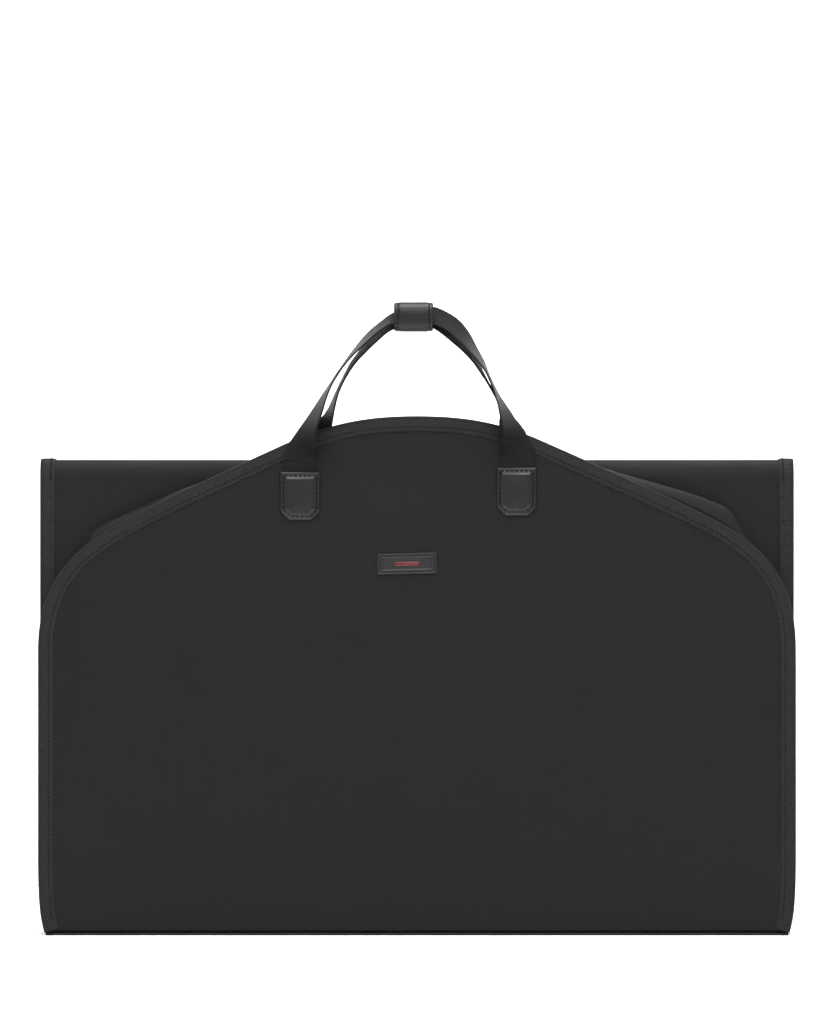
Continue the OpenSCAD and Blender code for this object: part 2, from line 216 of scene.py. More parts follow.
def make_piece(name, verts, faces, material, uvs=None):
    """A mesh object from arrays, at the origin, with an optional UV map in metres."""
    mesh = bpy.data.meshes.new(name)
    mesh.from_pydata(np.asarray(verts, float).tolist(), [], [list(f) for f in faces])
    mesh.update()
    if uvs is not None:
        index = np.empty(len(mesh.loops), np.int32)
        mesh.loops.foreach_get("vertex_index", index)
        layer = mesh.uv_layers.new(name="Metres")
        layer.data.foreach_set("uv", np.asarray(uvs, float)[index].astype(np.float32).ravel())
    mesh.polygons.foreach_set("use_smooth", [True] * len(mesh.polygons))
    mesh.materials.append(material)
    piece = bpy.data.objects.new(name, mesh)
    bpy.context.scene.collection.objects.link(piece)
    return piece


def grid_faces(rows, columns, close_rows=False, close_columns=False, flip=False, start=0):
    """Quads of a grid numbered row by row, joined end to end where it closes."""
    i = np.arange(rows if close_rows else rows - 1)
    j = np.arange(columns if close_columns else columns - 1)
    i, j = (a.ravel() for a in np.meshgrid(i, j, indexing="ij"))
    i2, j2 = (i + 1) % rows, (j + 1) % columns
    quads = np.stack([i * columns + j, i2 * columns + j, i2 * columns + j2,
                      i * columns + j2], 1)
    return (quads[:, ::-1] if flip else quads) + start


def rod_faces(rings, across):
    """Faces of a closed rod of rings of points, with a cap at both ends."""
    last = rings * across
    return (grid_faces(rings, across, close_columns=True).tolist()
            + [list(range(across)), list(range(last - 1, last - across - 1, -1))])


def repeated(faces, size, count):
    """The faces of one small shape of so many points, for each of its copies."""
    return [[v + size * k for v in face] for k in range(count) for face in faces]


def grid_lengths(points):
    """UVs of a grid: the length run along its middle column and along its middle row."""
    rows, columns = points.shape[:2]
    down, across = points[:, columns // 2], points[rows // 2]
    u, v = np.meshgrid(run_along(down), run_along(across), indexing="ij")
    return np.stack([v.ravel(), u.ravel()], 1)


def cloth_piece(name, points, material, thickness=None, uvs=None):
    """A sheet from a grid of points, thickened behind its faces. Rows run up, columns
    across to the right, so that the outer side faces the front."""
    rows, columns = points.shape[:2]
    piece = make_piece(name, points.reshape(-1, 3), grid_faces(rows, columns, flip=True),
                       material, grid_lengths(points) if uvs is None else uvs)
    solid = piece.modifiers.new("Thickness", "SOLIDIFY")
    solid.thickness = set_sizes().cloth if thickness is None else thickness
    solid.offset = -1
    solid.use_even_offset = False
    return piece


def profile_piece(name, path, across, outwards, profile, material):
    """A closed profile carried along a path. Each profile point (a, b) sits at the path's
    point plus a times the across vector plus b times the outward vector there."""
    n, m = len(path), len(profile)
    a, b = profile[:, 0][None, :, None], profile[:, 1][None, :, None]
    points = path[:, None] + a * across[:, None] + b * outwards[:, None]
    u, v = np.meshgrid(run_along(path), run_along(profile), indexing="ij")
    faces = rod_faces(n, m)
    piece = make_piece(name, points.reshape(-1, 3), faces, material,
                       np.stack([u.ravel(), v.ravel()], 1))
    outward_faces(piece)
    return piece


def outward_faces(piece):
    """Turns a closed mesh's faces outwards."""
    work = bmesh.new()
    work.from_mesh(piece.data)
    bmesh.ops.recalc_face_normals(work, faces=work.faces)
    work.to_mesh(piece.data)
    work.free()


def stitches(name, path, normals, material, pitch=None, share=0.66, thread=None, sink=0.25):
    """A row of stitches: one small rounded capsule for each pitch of the path, lying along
    the path and sunk a little into the surface whose normals are given."""
    sizes = set_sizes()
    pitch = pitch or sizes.stitch
    thread = thread or sizes.thread
    count = max(2, int(round(length_of(path) / pitch)))
    joined = even(np.concatenate([path, normals], 1), 2 * count + 1)
    middle, ahead, behind = joined[1::2, :3], joined[2::2, :3], joined[:-1:2, :3]
    along = unit(ahead - behind)
    up = joined[1::2, 3:]
    up = unit(up - (up * along).sum(1)[:, None] * along)
    side = np.cross(along, up)
    # capsule: four rings of six points, narrow at both ends
    s = np.array([-0.5, -0.36, 0.36, 0.5])[:, None]
    r = np.array([0.35, 1, 1, 0.35])[:, None] * thread / 2
    turn = np.arange(6)[None, :] * math.pi / 3
    length = pitch * share
    local = np.stack([(s * length + 0 * turn), r * np.cos(turn), r * np.sin(turn)], -1)
    local = local.reshape(-1, 3)
    lift = (0.5 - sink) * thread
    points = (middle[:, None] + local[None, :, :1] * along[:, None]
              + local[None, :, 1:2] * side[:, None]
              + (local[None, :, 2:] + lift) * up[:, None])
    piece = make_piece(name, points.reshape(-1, 3), repeated(rod_faces(4, 6), 24, count),
                       material)
    outward_faces(piece)
    return piece


# ------------------------------------------------------------------ finishes
def add_node(tree, kind, inputs=None, **settings):
    """Adds a node, sets its properties, and sets or links its inputs."""
    made = tree.nodes.new(kind)
    for key, value in settings.items():
        setattr(made, key, value)
    for key, value in (inputs or {}).items():
        if isinstance(value, bpy.types.NodeSocket):
            tree.links.new(value, made.inputs[key])
        else:
            made.inputs[key].default_value = value
    return made


def new_material(name, surface):
    """A material with a Principled shader whose own sockets take the given values."""
    material = bpy.data.materials.new(name)
    material.use_nodes = True
    shader = material.node_tree.nodes["Principled BSDF"]
    for key, value in surface.items():
        shader.inputs[key].default_value = value
    return material, shader


def threads(tree, uv, pitch, turn=0.0):
    """A wave across the UV map, with one crest for each pitch in metres."""
    place = add_node(tree, "ShaderNodeMapping", {"Vector": uv, "Rotation": (0, 0, turn)})
    # a wave texture has a crest every 2 pi / 20 of its scaled length
    return add_node(tree, "ShaderNodeTexWave",
                    {"Vector": place.outputs[0], "Scale": 0.314159 / pitch,
                     "Distortion": 0.6, "Detail": 1.0, "Detail Scale": 1.5},
                    bands_direction="X").outputs["Fac"]


def woven(name, rgb, pitch, depth, surface, mottle=0.12, twill=0.0, cloud=0.05):
    """Woven cloth: warp and weft crests of the given pitch raise the surface, and soft
    patches a few centimetres wide vary the colour by the mottle share."""
    material, shader = new_material(name, surface)
    tree = material.node_tree
    uv = add_node(tree, "ShaderNodeUVMap", uv_map="Metres").outputs[0]
    warp = threads(tree, uv, pitch, twill)
    weft = threads(tree, uv, pitch, twill + math.pi / 2)
    weave = add_node(tree, "ShaderNodeMath", {0: warp, 1: weft}, operation="MULTIPLY")
    patch = add_node(tree, "ShaderNodeTexNoise",
                     {"Vector": uv, "Scale": 1 / cloud, "Detail": 4.0, "Roughness": 0.6})
    grit = add_node(tree, "ShaderNodeTexNoise",
                    {"Vector": uv, "Scale": 0.5 / pitch, "Detail": 2.0})
    base = np.array(linear(rgb))
    dark, light = base * (1 - mottle), base * (1 + mottle)
    dark[3] = light[3] = 1
    tone = add_node(tree, "ShaderNodeMath",
                    {0: patch.outputs["Fac"], 1: grit.outputs["Fac"]}, operation="ADD")
    tone = add_node(tree, "ShaderNodeMath",
                    {0: tone.outputs[0], 1: weave.outputs[0]}, operation="ADD")
    tone = add_node(tree, "ShaderNodeMapRange",
                    {"Value": tone.outputs[0], "From Min": 0.7, "From Max": 1.9})
    mix = add_node(tree, "ShaderNodeMix",
                   {"Factor": tone.outputs[0], "A": dark, "B": light}, data_type="RGBA")
    tree.links.new(mix.outputs["Result"], shader.inputs["Base Color"])
    rough = add_node(tree, "ShaderNodeMapRange",
                     {"Value": patch.outputs["Fac"], "From Min": 0.3, "From Max": 0.7,
                      "To Min": surface["Roughness"] - 0.05,
                      "To Max": surface["Roughness"] + 0.05})
    tree.links.new(rough.outputs[0], shader.inputs["Roughness"])
    bump = add_node(tree, "ShaderNodeBump",
                    {"Height": weave.outputs[0], "Distance": depth, "Strength": 1.0})
    tree.links.new(bump.outputs[0], shader.inputs["Normal"])
    return material


def grained(name, rgb, grain, depth, surface, wear=0.25):
    """Leather or moulding: cells of the given size part the surface into grain, and the
    tone rises a little where the grain is proud."""
    material, shader = new_material(name, surface)
    tree = material.node_tree
    place = add_node(tree, "ShaderNodeTexCoord").outputs["Object"]
    cells = add_node(tree, "ShaderNodeTexVoronoi",
                     {"Vector": place, "Scale": 1 / grain, "Randomness": 1.0},
                     feature="SMOOTH_F1")
    cloud = add_node(tree, "ShaderNodeTexNoise",
                     {"Vector": place, "Scale": 0.12 / grain, "Detail": 5.0})
    base = np.array(linear(rgb))
    dark, light = base * (1 - wear), base * (1 + wear)
    dark[3] = light[3] = 1
    tone = add_node(tree, "ShaderNodeMath",
                    {0: cells.outputs["Distance"], 1: cloud.outputs["Fac"]},
                    operation="ADD")
    tone = add_node(tree, "ShaderNodeMapRange",
                    {"Value": tone.outputs[0], "From Min": 0.4, "From Max": 1.5})
    mix = add_node(tree, "ShaderNodeMix",
                   {"Factor": tone.outputs[0], "A": light, "B": dark}, data_type="RGBA")
    tree.links.new(mix.outputs["Result"], shader.inputs["Base Color"])
    bump = add_node(tree, "ShaderNodeBump",
                    {"Height": cells.outputs["Distance"], "Distance": depth,
                     "Strength": 0.8}, invert=True)
    tree.links.new(bump.outputs[0], shader.inputs["Normal"])
    return material


def make_finishes():
    """All finishes of the bag by name, made once."""
    c = bpy.context.scene.bag_colours
    # Fine nylon, closely woven: a soft broad sheen and no sharp highlight.
    # Its real threads are 0.3 mm apart; they are drawn at 1.1 mm so that they show.
    nylon = {"Roughness": 0.52, "IOR": 1.45, "Sheen Weight": 0.04, "Sheen Roughness": 0.4,
             "Specular IOR Level": 0.2}
    tape = {"Roughness": 0.62, "IOR": 1.5, "Sheen Weight": 0.06, "Sheen Roughness": 0.5,
            "Specular IOR Level": 0.2}
    # Nylon webbing: glossy yarns in ribs, so its lit ribs catch the light
    ribbed = {"Roughness": 0.55, "IOR": 1.4, "Sheen Weight": 0.03, "Sheen Roughness": 0.4,
              "Specular IOR Level": 0.16}
    # Smooth cowhide with a pigment finish: fine pores and a soft highlight
    hide = {"Roughness": 0.3, "IOR": 1.5, "Specular IOR Level": 0.4}
    return {
        "nylon": woven("woven_nylon", c.nylon, 1.1 * MM, 0.05 * MM, nylon),
        "lining": woven("taffeta_lining", c.lining, 1.3 * MM, 0.04 * MM, nylon),
        "tape": woven("folded_binding_tape", c.tape, 1.5 * MM, 0.12 * MM, tape,
                      twill=0.7),
        "webbing": woven("ribbed_webbing", c.webbing, 1.6 * MM, 0.1 * MM, ribbed),
        "zip_tape": woven("zip_tape_twill", c.zip_tape, 1.2 * MM, 0.1 * MM, tape,
                          twill=0.8),
        "thread": woven("bonded_thread", c.thread, 0.5 * MM, 0.05 * MM, ribbed),
        "leather": grained("pigmented_cowhide", c.leather, 0.9 * MM, 0.06 * MM, hide),
        # Nylon coil, drawn and set by heat: a smooth plastic gloss
        "coil": grained("nylon_coil", c.coil, 2.0 * MM, 0.02 * MM,
                        {"Roughness": 0.38, "IOR": 1.53}, wear=0.1),
        # Zinc casting under dark nickel plate: a satin metal with faint tumbling marks
        "metal": grained("dark_nickel_plate", c.metal, 0.8 * MM, 0.01 * MM,
                         {"Roughness": 0.34, "Metallic": 1.0}, wear=0.15),
        # Moulded soft plastic with a satin tool finish
        "badge": grained("moulded_badge", c.badge, 0.6 * MM, 0.02 * MM,
                         {"Roughness": 0.45, "IOR": 1.5}, wear=0.15),
        # Blackened steel: dull, nearly black
        "rivet": grained("blackened_steel", c.rivet, 1.0 * MM, 0.004 * MM,
                         {"Roughness": 0.5, "Metallic": 0.6}, wear=0.1),
        # Baked enamel: an even gloss
        "enamel": grained("baked_enamel", c.enamel, 1.5 * MM, 0.005 * MM,
                          {"Roughness": 0.3, "IOR": 1.5}, wear=0.12),
    }


FINISH = {}


def place_piece(piece, finish, body, *nodes):
    """Attaches a piece to the body that it rides on, if one is given, and hides the nodes that
    it stands for; its finish is not used.
    """
    if body:
        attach(piece, body)
    if nodes:
        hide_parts(*nodes)
    return piece


def declare_sheet(piece):
    """Returns the piece unchanged."""
    return piece


# ------------------------------------------------------------------ the front section's outline
CREST_HALF, CREST_DROP = 0.100, 21 * MM
SLOPE_HALF, SLOPE_DROP = 0.180, 56.5 * MM
SIDE_Z = 0.217  # where the shoulder curve meets the straight side
SAG = 3.5 * MM


def side_outline(side):
    """Half of the front section's edge, from the crest down to the fold: a shallow curve
    over the crest, a straight slope, a shoulder curve and the drawn-in foot. The left
    shoulder sags a few millimetres lower than the right one."""
    sag = SAG if side < 0 else 0
    crest = bezier([[0, CREST_Z], [0.45 * CREST_HALF, CREST_Z],
                    [0.7 * CREST_HALF, CREST_Z - 7.5 * MM],
                    [CREST_HALF, CREST_Z - CREST_DROP]], 30)
    shoulder = bezier([[SLOPE_HALF, CREST_Z - SLOPE_DROP - 0.3 * sag],
                       [SLOPE_HALF + 56 * MM, CREST_Z - SLOPE_DROP - 26.5 * MM - sag],
                       [HALF_W + 0.5 * MM, SIDE_Z + 79 * MM - 1.5 * sag],
                       [HALF_W, SIDE_Z]], 60)
    foot = bezier([[HALF_W, 0.060], [HALF_W, 0.030], [HALF_W - 1.2 * MM, 0.014],
                   [FOOT_HALF, LOW_Z]], 20)
    half = np.concatenate([crest, shoulder, foot])
    return half * [side, 1]


def front_outline(count=700):
    """The whole edge from the left foot over the crest to the right foot, at even steps."""
    left, right = side_outline(-1), side_outline(1)
    return even(np.concatenate([left[::-1], right[1:]]), count)


def inward(path):
    """Unit normals of a path in X and Z that point inwards, for a path run clockwise."""
    d = heading(path)
    return np.stack([d[:, 1], -d[:, 0]], 1)


def edge_height(x, inset=4 * MM):
    """Height of the cloth's edge at x, under the binding."""
    path = front_outline()
    path = path + inward(path) * inset
    top = path[:, 1] > 0.2
    xs, zs = path[top][:, 0], path[top][:, 1]
    order = np.argsort(xs)
    return np.interp(x, xs[order], zs[order])


def ripples(x, z, seed=0.0):
    """Soft uneven waves of cloth about one unit high: four crossed sines of different
    lengths, none of them in step."""
    return (0.40 * np.sin(11.0 * x + 7.0 * z + seed)
            + 0.30 * np.sin(23.0 * z - 9.0 * x + 1.7 * seed + 1.0)
            + 0.20 * np.sin(41.0 * x + 17.0 * z + 2.3 * seed)
            + 0.10 * np.sin(67.0 * z + 53.0 * x + 0.6))


def front_surface(x, z):
    """Depth of the front cloth at a point: flat at its edge, puffed out a little inside,
    with waves that die out at the seams."""
    sizes = set_sizes()
    top = edge_height(x, 11 * MM)
    edge = np.minimum(np.clip(top - z, 0, 1), np.clip(HALF_W - 11 * MM - np.abs(x), 0, 1))
    inside = smooth(0, 0.05, edge)
    pucker = 0.25 * MM * np.sin(x / 0.0052 + 3 * z) * np.exp(-np.clip(edge, 0, 1) / 0.012)
    puff = 1.1 * MM * smooth(0, 0.12, edge)
    calm = smooth(0.0, 0.03, z)
    return FRONT_Y - (puff + sizes.ripple * ripples(x, z) * inside + pucker) * calm


def flat_uv(points):
    """UVs in metres of an upright cloth: X across and Z up."""
    return points[..., [0, 2]].reshape(-1, 2)


def front_cover():
    """Front cloth: a grid whose columns run from the bottom fold up to the edge, its depth
    given by the cloth's waves; the last rows roll under at the fold."""
    columns, rows = 260, 150
    x = np.linspace(-FOOT_HALF, FOOT_HALF, columns)
    top = edge_height(x)
    v = np.linspace(0, 1, rows)[:, None]
    z = 7 * MM + v * (top[None] - 7 * MM)
    xs = np.broadcast_to(x, z.shape)
    points = np.stack([xs, front_surface(xs, z), z], -1)
    turn = np.linspace(-math.pi / 2, 0, 9)[:-1, None]
    radius = 6.5 * MM
    y = FRONT_Y + radius * (1 - np.cos(turn)) + 0 * x
    zz = 7 * MM + radius * np.sin(turn) + 0 * x
    under = np.stack([np.broadcast_to(x, zz.shape), y, zz], -1)
    points = np.concatenate([under, points])
    piece = cloth_piece("front_cloth", points, FINISH["nylon"], uvs=flat_uv(points))
    place_piece(piece, "nylon", None, "front_cover")
    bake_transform(piece)
    return declare_sheet(piece)


def front_back():
    """The front section's zipped back: two flat cloths, each from the zip out to the
    edge."""
    gap = float(low("front_zip_face_right")[0])
    for side, name in ((-1, "left"), (1, "right")):
        x = np.linspace(gap, FOOT_HALF, 70) * side
        x = x[::-1] if side < 0 else x
        v = np.linspace(0, 1, 90)[:, None]
        z = LOW_Z + v * (edge_height(x)[None] - LOW_Z)
        xs = np.broadcast_to(x, z.shape)
        y = FRONT_BACK_Y - 0.2 * MM - 0.5 * MM * (1 + ripples(xs, z, 2.0)) * smooth(
            0, 0.05, np.abs(xs) - gap)
        points = np.stack([xs, y, z], -1)[:, ::-1]
        piece = cloth_piece(f"front_back_cloth_{name}", points, FINISH["nylon"],
                            uvs=flat_uv(points))
        place_piece(piece, "nylon", "front_section", f"front_zip_face_{name}")
        declare_sheet(piece)


def tube_profile(width, proud, behind, overlap=0.6 * MM, count=10):
    """Cross-section of a folded tape over an edge: a flat closed tube from just outside
    the edge to its width inside, rounded at both ends."""
    a = np.linspace(0, math.pi, count)
    mid, half = (proud - behind) / 2, (proud + behind) / 2
    left = np.stack([-overlap + half * (1 - np.sin(a)), mid + half * np.cos(a)], 1)
    run = np.linspace(half, width - half, 10)[1:-1]
    under = np.stack([run, np.full(8, mid - half)], 1)
    right = np.stack([width - half * 0.5 * (1 - np.sin(a)), mid - half * np.cos(a)], 1)
    crown = 0.3 * (proud - 0.1 * MM) * np.sin(math.pi * run / width)
    face = np.stack([run, mid + half + crown], 1)[::-1]
    return np.concatenate([left, under, right, face])


def front_binding():
    """Edge binding: a folded tape carried round the outline, puckered by its stitches,
    with a row of stitches nearer its inner edge."""
    sizes = set_sizes()
    flat = front_outline(900)
    normal = inward(flat)
    path = np.stack([flat[:, 0], np.full(len(flat), FRONT_Y), flat[:, 1]], 1)
    across = np.stack([normal[:, 0], 0 * normal[:, 0], normal[:, 1]], 1)
    out = np.tile([0.0, -1.0, 0.0], (len(path), 1))
    run = np.arange(len(path)) * length_of(path) / len(path)
    swell = 0.12 * MM * np.sin(2 * math.pi * run / sizes.stitch)
    path[:, 1] -= swell + 0.25 * MM * np.sin(run / 0.019) * np.sin(run / 0.047)
    profile = tube_profile(sizes.binding, sizes.binding_bulge, 1.3 * MM)
    piece = profile_piece("front_edge_binding", path, across, out, profile,
                          FINISH["tape"])
    place_piece(piece, "tape", "front_section", "front_binding")
    seam_at = path + across * 7.6 * MM
    seam_at[:, 1] -= sizes.binding_bulge
    inner = slice(6, -6)
    row = stitches("front_edge_stitches", seam_at[inner], out[inner], FINISH["thread"])
    place_piece(row, "thread", "front_section")


def front_gusset():
    """Shoulder gusset: a narrow cloth round the edge between the two faces. Its ridge
    stands out behind both shoulders, further at the right one."""
    flat = front_outline(700)
    normal = inward(flat)
    x = flat[:, 0]
    upper = smooth(0.21, 0.25, flat[:, 1])
    right = np.interp(x, [.140, .1515, .186, .209, .229, .237, .2486, .258],
                      [0, 1.5, 7.2, 11.0, 13.0, 11.0, 3.0, 0])
    left = np.interp(-x, [.160, .181, .215, .240, .2465, .2500, .258],
                     [0, 1.8, 4.0, 6.4, 5.2, 1.5, 0])
    ridge = (right + left) * MM * upper + 0.3 * MM
    middle = np.abs(x) > 0.033
    depth = FRONT_BACK_Y - FRONT_Y
    v = np.linspace(0, 1, 13)
    tent = np.sin(math.pi * v) ** 0.8
    bend = -1.0 * MM + (ridge + 1.0 * MM)[:, None] * tent[None]
    points = np.empty((len(flat), len(v), 3))
    points[..., 0] = x[:, None] - normal[:, :1] * bend
    points[..., 2] = flat[:, 1:] - normal[:, 1:] * bend
    points[..., 1] = FRONT_Y + 0.6 * MM + v[None] * (depth - 1.2 * MM)
    for side, name in ((-1, "left"), (1, "right")):
        part = points[middle & (np.sign(x) == side)]
        piece = cloth_piece(f"front_gusset_cloth_{name}", part, FINISH["nylon"])
        outward_from(piece, (0, (FRONT_Y + FRONT_BACK_Y) / 2, 0.2))
        place_piece(piece, "nylon", "front_section", f"front_gusset_{name}")
        declare_sheet(piece)


def outward_from(piece, middle):
    """Turns an open sheet's faces away from a point, judged by their sum."""
    mesh = piece.data
    centres = np.empty(len(mesh.polygons) * 3)
    normals = np.empty(len(mesh.polygons) * 3)
    mesh.polygons.foreach_get("center", centres)
    mesh.polygons.foreach_get("normal", normals)
    away = centres.reshape(-1, 3) - np.array(middle)
    if (away * normals.reshape(-1, 3)).sum() < 0:
        mesh.flip_normals()


def slot_binding():
    """Binding of the hanger slot: a rounded tape frame that stands in the crest between
    the two faces."""
    lo, hi = low("hanger_slot_binding"), high("hanger_slot_binding")
    half = (hi - lo) / 2
    centre = (hi + lo) / 2
    corner = min(half[0], half[1]) * 0.9
    a = np.linspace(0, 2 * math.pi, 65)[:-1]
    x = np.sign(np.cos(a)) * (half[0] - corner) + corner * np.cos(a)
    y = np.sign(np.sin(a)) * (half[1] - corner) + corner * np.sin(a)
    r = 0.8 * MM
    b = np.linspace(0, 2 * math.pi, 13)[:-1]
    ring = np.stack([x, y], 1)
    away = ring / np.array([half[0], half[1]])
    away /= np.linalg.norm(away, axis=1)[:, None]
    flat = ring[:, None] + r * (np.cos(b)[None, :, None] - 1) * away[:, None]
    z = centre[2] + half[2] * np.sin(b)[None] + 0 * flat[..., 0]
    points = np.stack([flat[..., 0] + centre[0], flat[..., 1] + centre[1], z], -1)
    piece = make_piece("hanger_slot_tape", points.reshape(-1, 3),
                       grid_faces(64, 12, True, True), FINISH["tape"],
                       grid_lengths(points))
    outward_faces(piece)
    place_piece(piece, "tape", "front_section", "hanger_slot_binding")


# ------------------------------------------------------------------ middle and end sections
TOP_R = 6.0 * MM
TOP_DROP = 15.0 * MM
TOP_MID_Y = (MIDDLE_Y + END_BACK_Y) / 2


def over_top(front, proud=0.0, rows=70):
    """Path in Y and Z of the cloth that runs up a section and over the soft top fold to
    its middle: upright, then a quarter ellipse, then flat. Front is True for the middle
    section's face and False for the end section's."""
    face = MIDDLE_Y - proud if front else END_BACK_Y + proud
    step = 1 if front else -1
    top = FOLD_Z + proud
    r, drop = TOP_R + proud, TOP_DROP + proud
    up = np.linspace(LOW_Z, top - drop, rows)
    turn = np.linspace(0, math.pi / 2, 18)[1:]
    y = np.concatenate([np.full(rows, face), face + step * r * (1 - np.cos(turn)),
                        [TOP_MID_Y]])
    z = np.concatenate([up, top - drop + drop * np.sin(turn), [top]])
    return np.stack([y, z], 1)


def blend_top(piece):
    """Bakes a piece's placement into its mesh."""
    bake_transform(piece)


def drawn_in(x, z):
    """X of a point of the rear sections, drawn in at the foot like the front's edge."""
    foot = side_outline(1)[-20:][::-1]
    pull = HALF_W - np.interp(z, foot[:, 1], foot[:, 0])
    return x - np.sign(x) * pull * smooth(0.5 * HALF_W, HALF_W, np.abs(x))


def section_faces():
    """Zipped faces of the middle and end sections, in two halves each, that run on over
    the top fold and meet at its middle. Their waves lie across the depth of the path."""
    sizes = set_sizes()
    gap = float(low("middle_zip_face_right")[0])
    for front, section in ((True, "middle"), (False, "end")):
        path = over_top(front)
        d = heading(path)
        out = np.stack([-d[:, 1], d[:, 0]], 1) * (1 if front else -1)
        run = run_along(path)
        for side, name in ((-1, "left"), (1, "right")):
            x = np.linspace(gap, HALF_W - 1 * MM, 90) * side
            x = x[::-1] if side < 0 else x
            xs = np.broadcast_to(x[None], (len(path), len(x)))
            zs = np.broadcast_to(path[:, 1:], xs.shape)
            calm = smooth(0, 0.03, np.abs(xs) - gap) * smooth(0, 0.03, run[:, None])
            sag = 0.5 * MM * np.sin(xs / 0.043 + 1) * smooth(FOLD_Z - 0.02, FOLD_Z, zs)
            wave = sizes.ripple * (ripples(xs, zs, 3.0 if front else 5.0) - 0.6) * calm
            wave = np.minimum(wave, 0.3 * MM) + sag * calm
            wave *= smooth(0, 0.02, run[-1] - run)[:, None]
            points = np.stack([drawn_in(xs, zs), path[:, :1] + out[:, :1] * wave,
                               path[:, 1:] + out[:, 1:] * wave], -1)
            uv = np.stack([xs.ravel(), np.broadcast_to(run[:, None], xs.shape).ravel()], 1)
            grid = points if front else points[:, ::-1]
            uv = uv if front else uv.reshape(len(path), len(x), 2)[:, ::-1].reshape(-1, 2)
            piece = cloth_piece(f"{section}_cloth_{name}", grid, FINISH["nylon"], uvs=uv)
            nodes = [f"{section}_zip_face_{name}"] + ([f"top_fold_{name}"] if front else [])
            place_piece(piece, "nylon", None, *nodes)
            blend_top(piece)
            declare_sheet(piece)


def section_bindings():
    """Side bindings of the middle and end sections: a folded tape over the edge that runs
    over the top fold, a little proud of it, with stitches near its inner edge."""
    sizes = set_sizes()
    for front, section in ((True, "middle"), (False, "end")):
        line = even(over_top(front, rows=200), 420)
        d = heading(line)
        out2 = np.stack([-d[:, 1], d[:, 0]], 1) * (1 if front else -1)
        out = np.stack([0 * line[:, 0], out2[:, 0], out2[:, 1]], 1)
        run = np.arange(len(line)) * length_of(line) / len(line)
        swell = (0.1 * MM * np.sin(2 * math.pi * run / sizes.stitch)
                 + 0.15 * MM * np.sin(run / 0.021) * np.sin(run / 0.033))
        for side, name in ((-1, "left"), (1, "right")):
            edge = drawn_in(np.full(len(line), side * HALF_W), line[:, 1])
            path = np.stack([edge, line[:, 0], line[:, 1]], 1)
            path = path + out * swell[:, None]
            across = np.tile([-float(side), 0.0, 0.0], (len(path), 1))
            profile = tube_profile(sizes.binding, 0.8 * MM, 1.3 * MM, overlap=0.4 * MM)
            piece = profile_piece(f"{section}_edge_tape_{name}", path, across, out,
                                  profile, FINISH["tape"])
            nodes = [f"{section}_binding_{name}"] + ([f"top_binding_{name}"] if front else [])
            place_piece(piece, "tape", None, *nodes)
            blend_top(piece)
            seam_at = path + across * (sizes.binding - 3 * MM) + out * 0.8 * MM
            row = stitches(f"{section}_edge_stitches_{name}", seam_at[4:-4], out[4:-4],
                           FINISH["thread"])
            place_piece(row, "thread", None)
            blend_top(row)


def section_covers():
    """Plain cloths that face each other between the middle and the end section."""
    for name, y, body, side in (("middle", MIDDLE_BACK_Y, "middle_section", 1),
                                ("end", END_Y, "end_section", -1)):
        x = np.linspace(-HALF_W + 1 * MM, HALF_W - 1 * MM, 90)
        z = np.linspace(LOW_Z, FOLD_LOW_Z - 0.3 * MM, 60)[:, None]
        xs, zs = np.broadcast_arrays(x[None], z)
        edge = np.minimum(HALF_W - np.abs(xs), np.minimum(zs - LOW_Z, FOLD_LOW_Z - zs))
        hollow = (0.35 * MM + 0.3 * MM * ripples(xs, zs, 7.0)) * smooth(0, 0.03, edge)
        points = np.stack([drawn_in(xs, zs), y - side * (0.1 * MM + hollow), zs], -1)
        points = points[:, ::-1] if side > 0 else points
        piece = cloth_piece(f"{name}_cover_cloth", points, FINISH["nylon"],
                            uvs=flat_uv(points))
        place_piece(piece, "nylon", body, f"{name}_cover")
        declare_sheet(piece)


def section_gussets():
    """Narrow side cloths of the middle and end sections, bulged a little between the two
    seams."""
    for section, y0, y1, body in (("middle", MIDDLE_Y, MIDDLE_BACK_Y, "middle_section"),
                                  ("end", END_Y, END_BACK_Y, "end_section")):
        for side, name in ((-1, "left"), (1, "right")):
            v = np.linspace(0, 1, 11)
            z = np.linspace(LOW_Z, FOLD_LOW_Z, 100)[:, None]
            crease = 0.35 * MM * np.sin(z / 0.013 + side) * np.sin(z / 0.031)
            x = HALF_W - 1.3 * MM + (1.0 * MM + crease) * np.sin(math.pi * v)[None]
            y = y0 + 0.8 * MM + v * (y1 - y0 - 1.6 * MM)
            z = np.broadcast_to(z, x.shape)
            points = np.stack([drawn_in(side * x, z), np.broadcast_to(y, x.shape), z], -1)
            points = points[:, ::-1] if side < 0 else points
            piece = cloth_piece(f"{section}_gusset_cloth_{name}", points,
                                FINISH["nylon"], uvs=grid_lengths(points))
            place_piece(piece, "nylon", body, f"{section}_gusset_{name}")
            declare_sheet(piece)


def end_hem():
    """Hem across the foot of the end section: a cloth strip turned up at both edges."""
    lo, hi = low("end_hem"), high("end_hem")
    y = np.array([lo[1], lo[1], lo[1] + 1 * MM, hi[1] - 1 * MM, hi[1], hi[1]])
    z = np.array([1.8, 0.8, 0, 0, 0.8, 1.8]) * MM + lo[2] + 0.3 * MM
    x = np.linspace(lo[0], hi[0], 120)[:, None]
    points = np.stack([np.broadcast_to(x * FOOT_HALF / HALF_W, (120, 6)),
                       np.broadcast_to(y, (120, 6)),
                       z[None] + 0.25 * MM * np.sin(x / 0.011)], -1)
    piece = cloth_piece("end_hem_cloth", points[::-1], FINISH["nylon"],
                        uvs=grid_lengths(points))
    place_piece(piece, "nylon", "end_section", "end_hem")
    declare_sheet(piece)


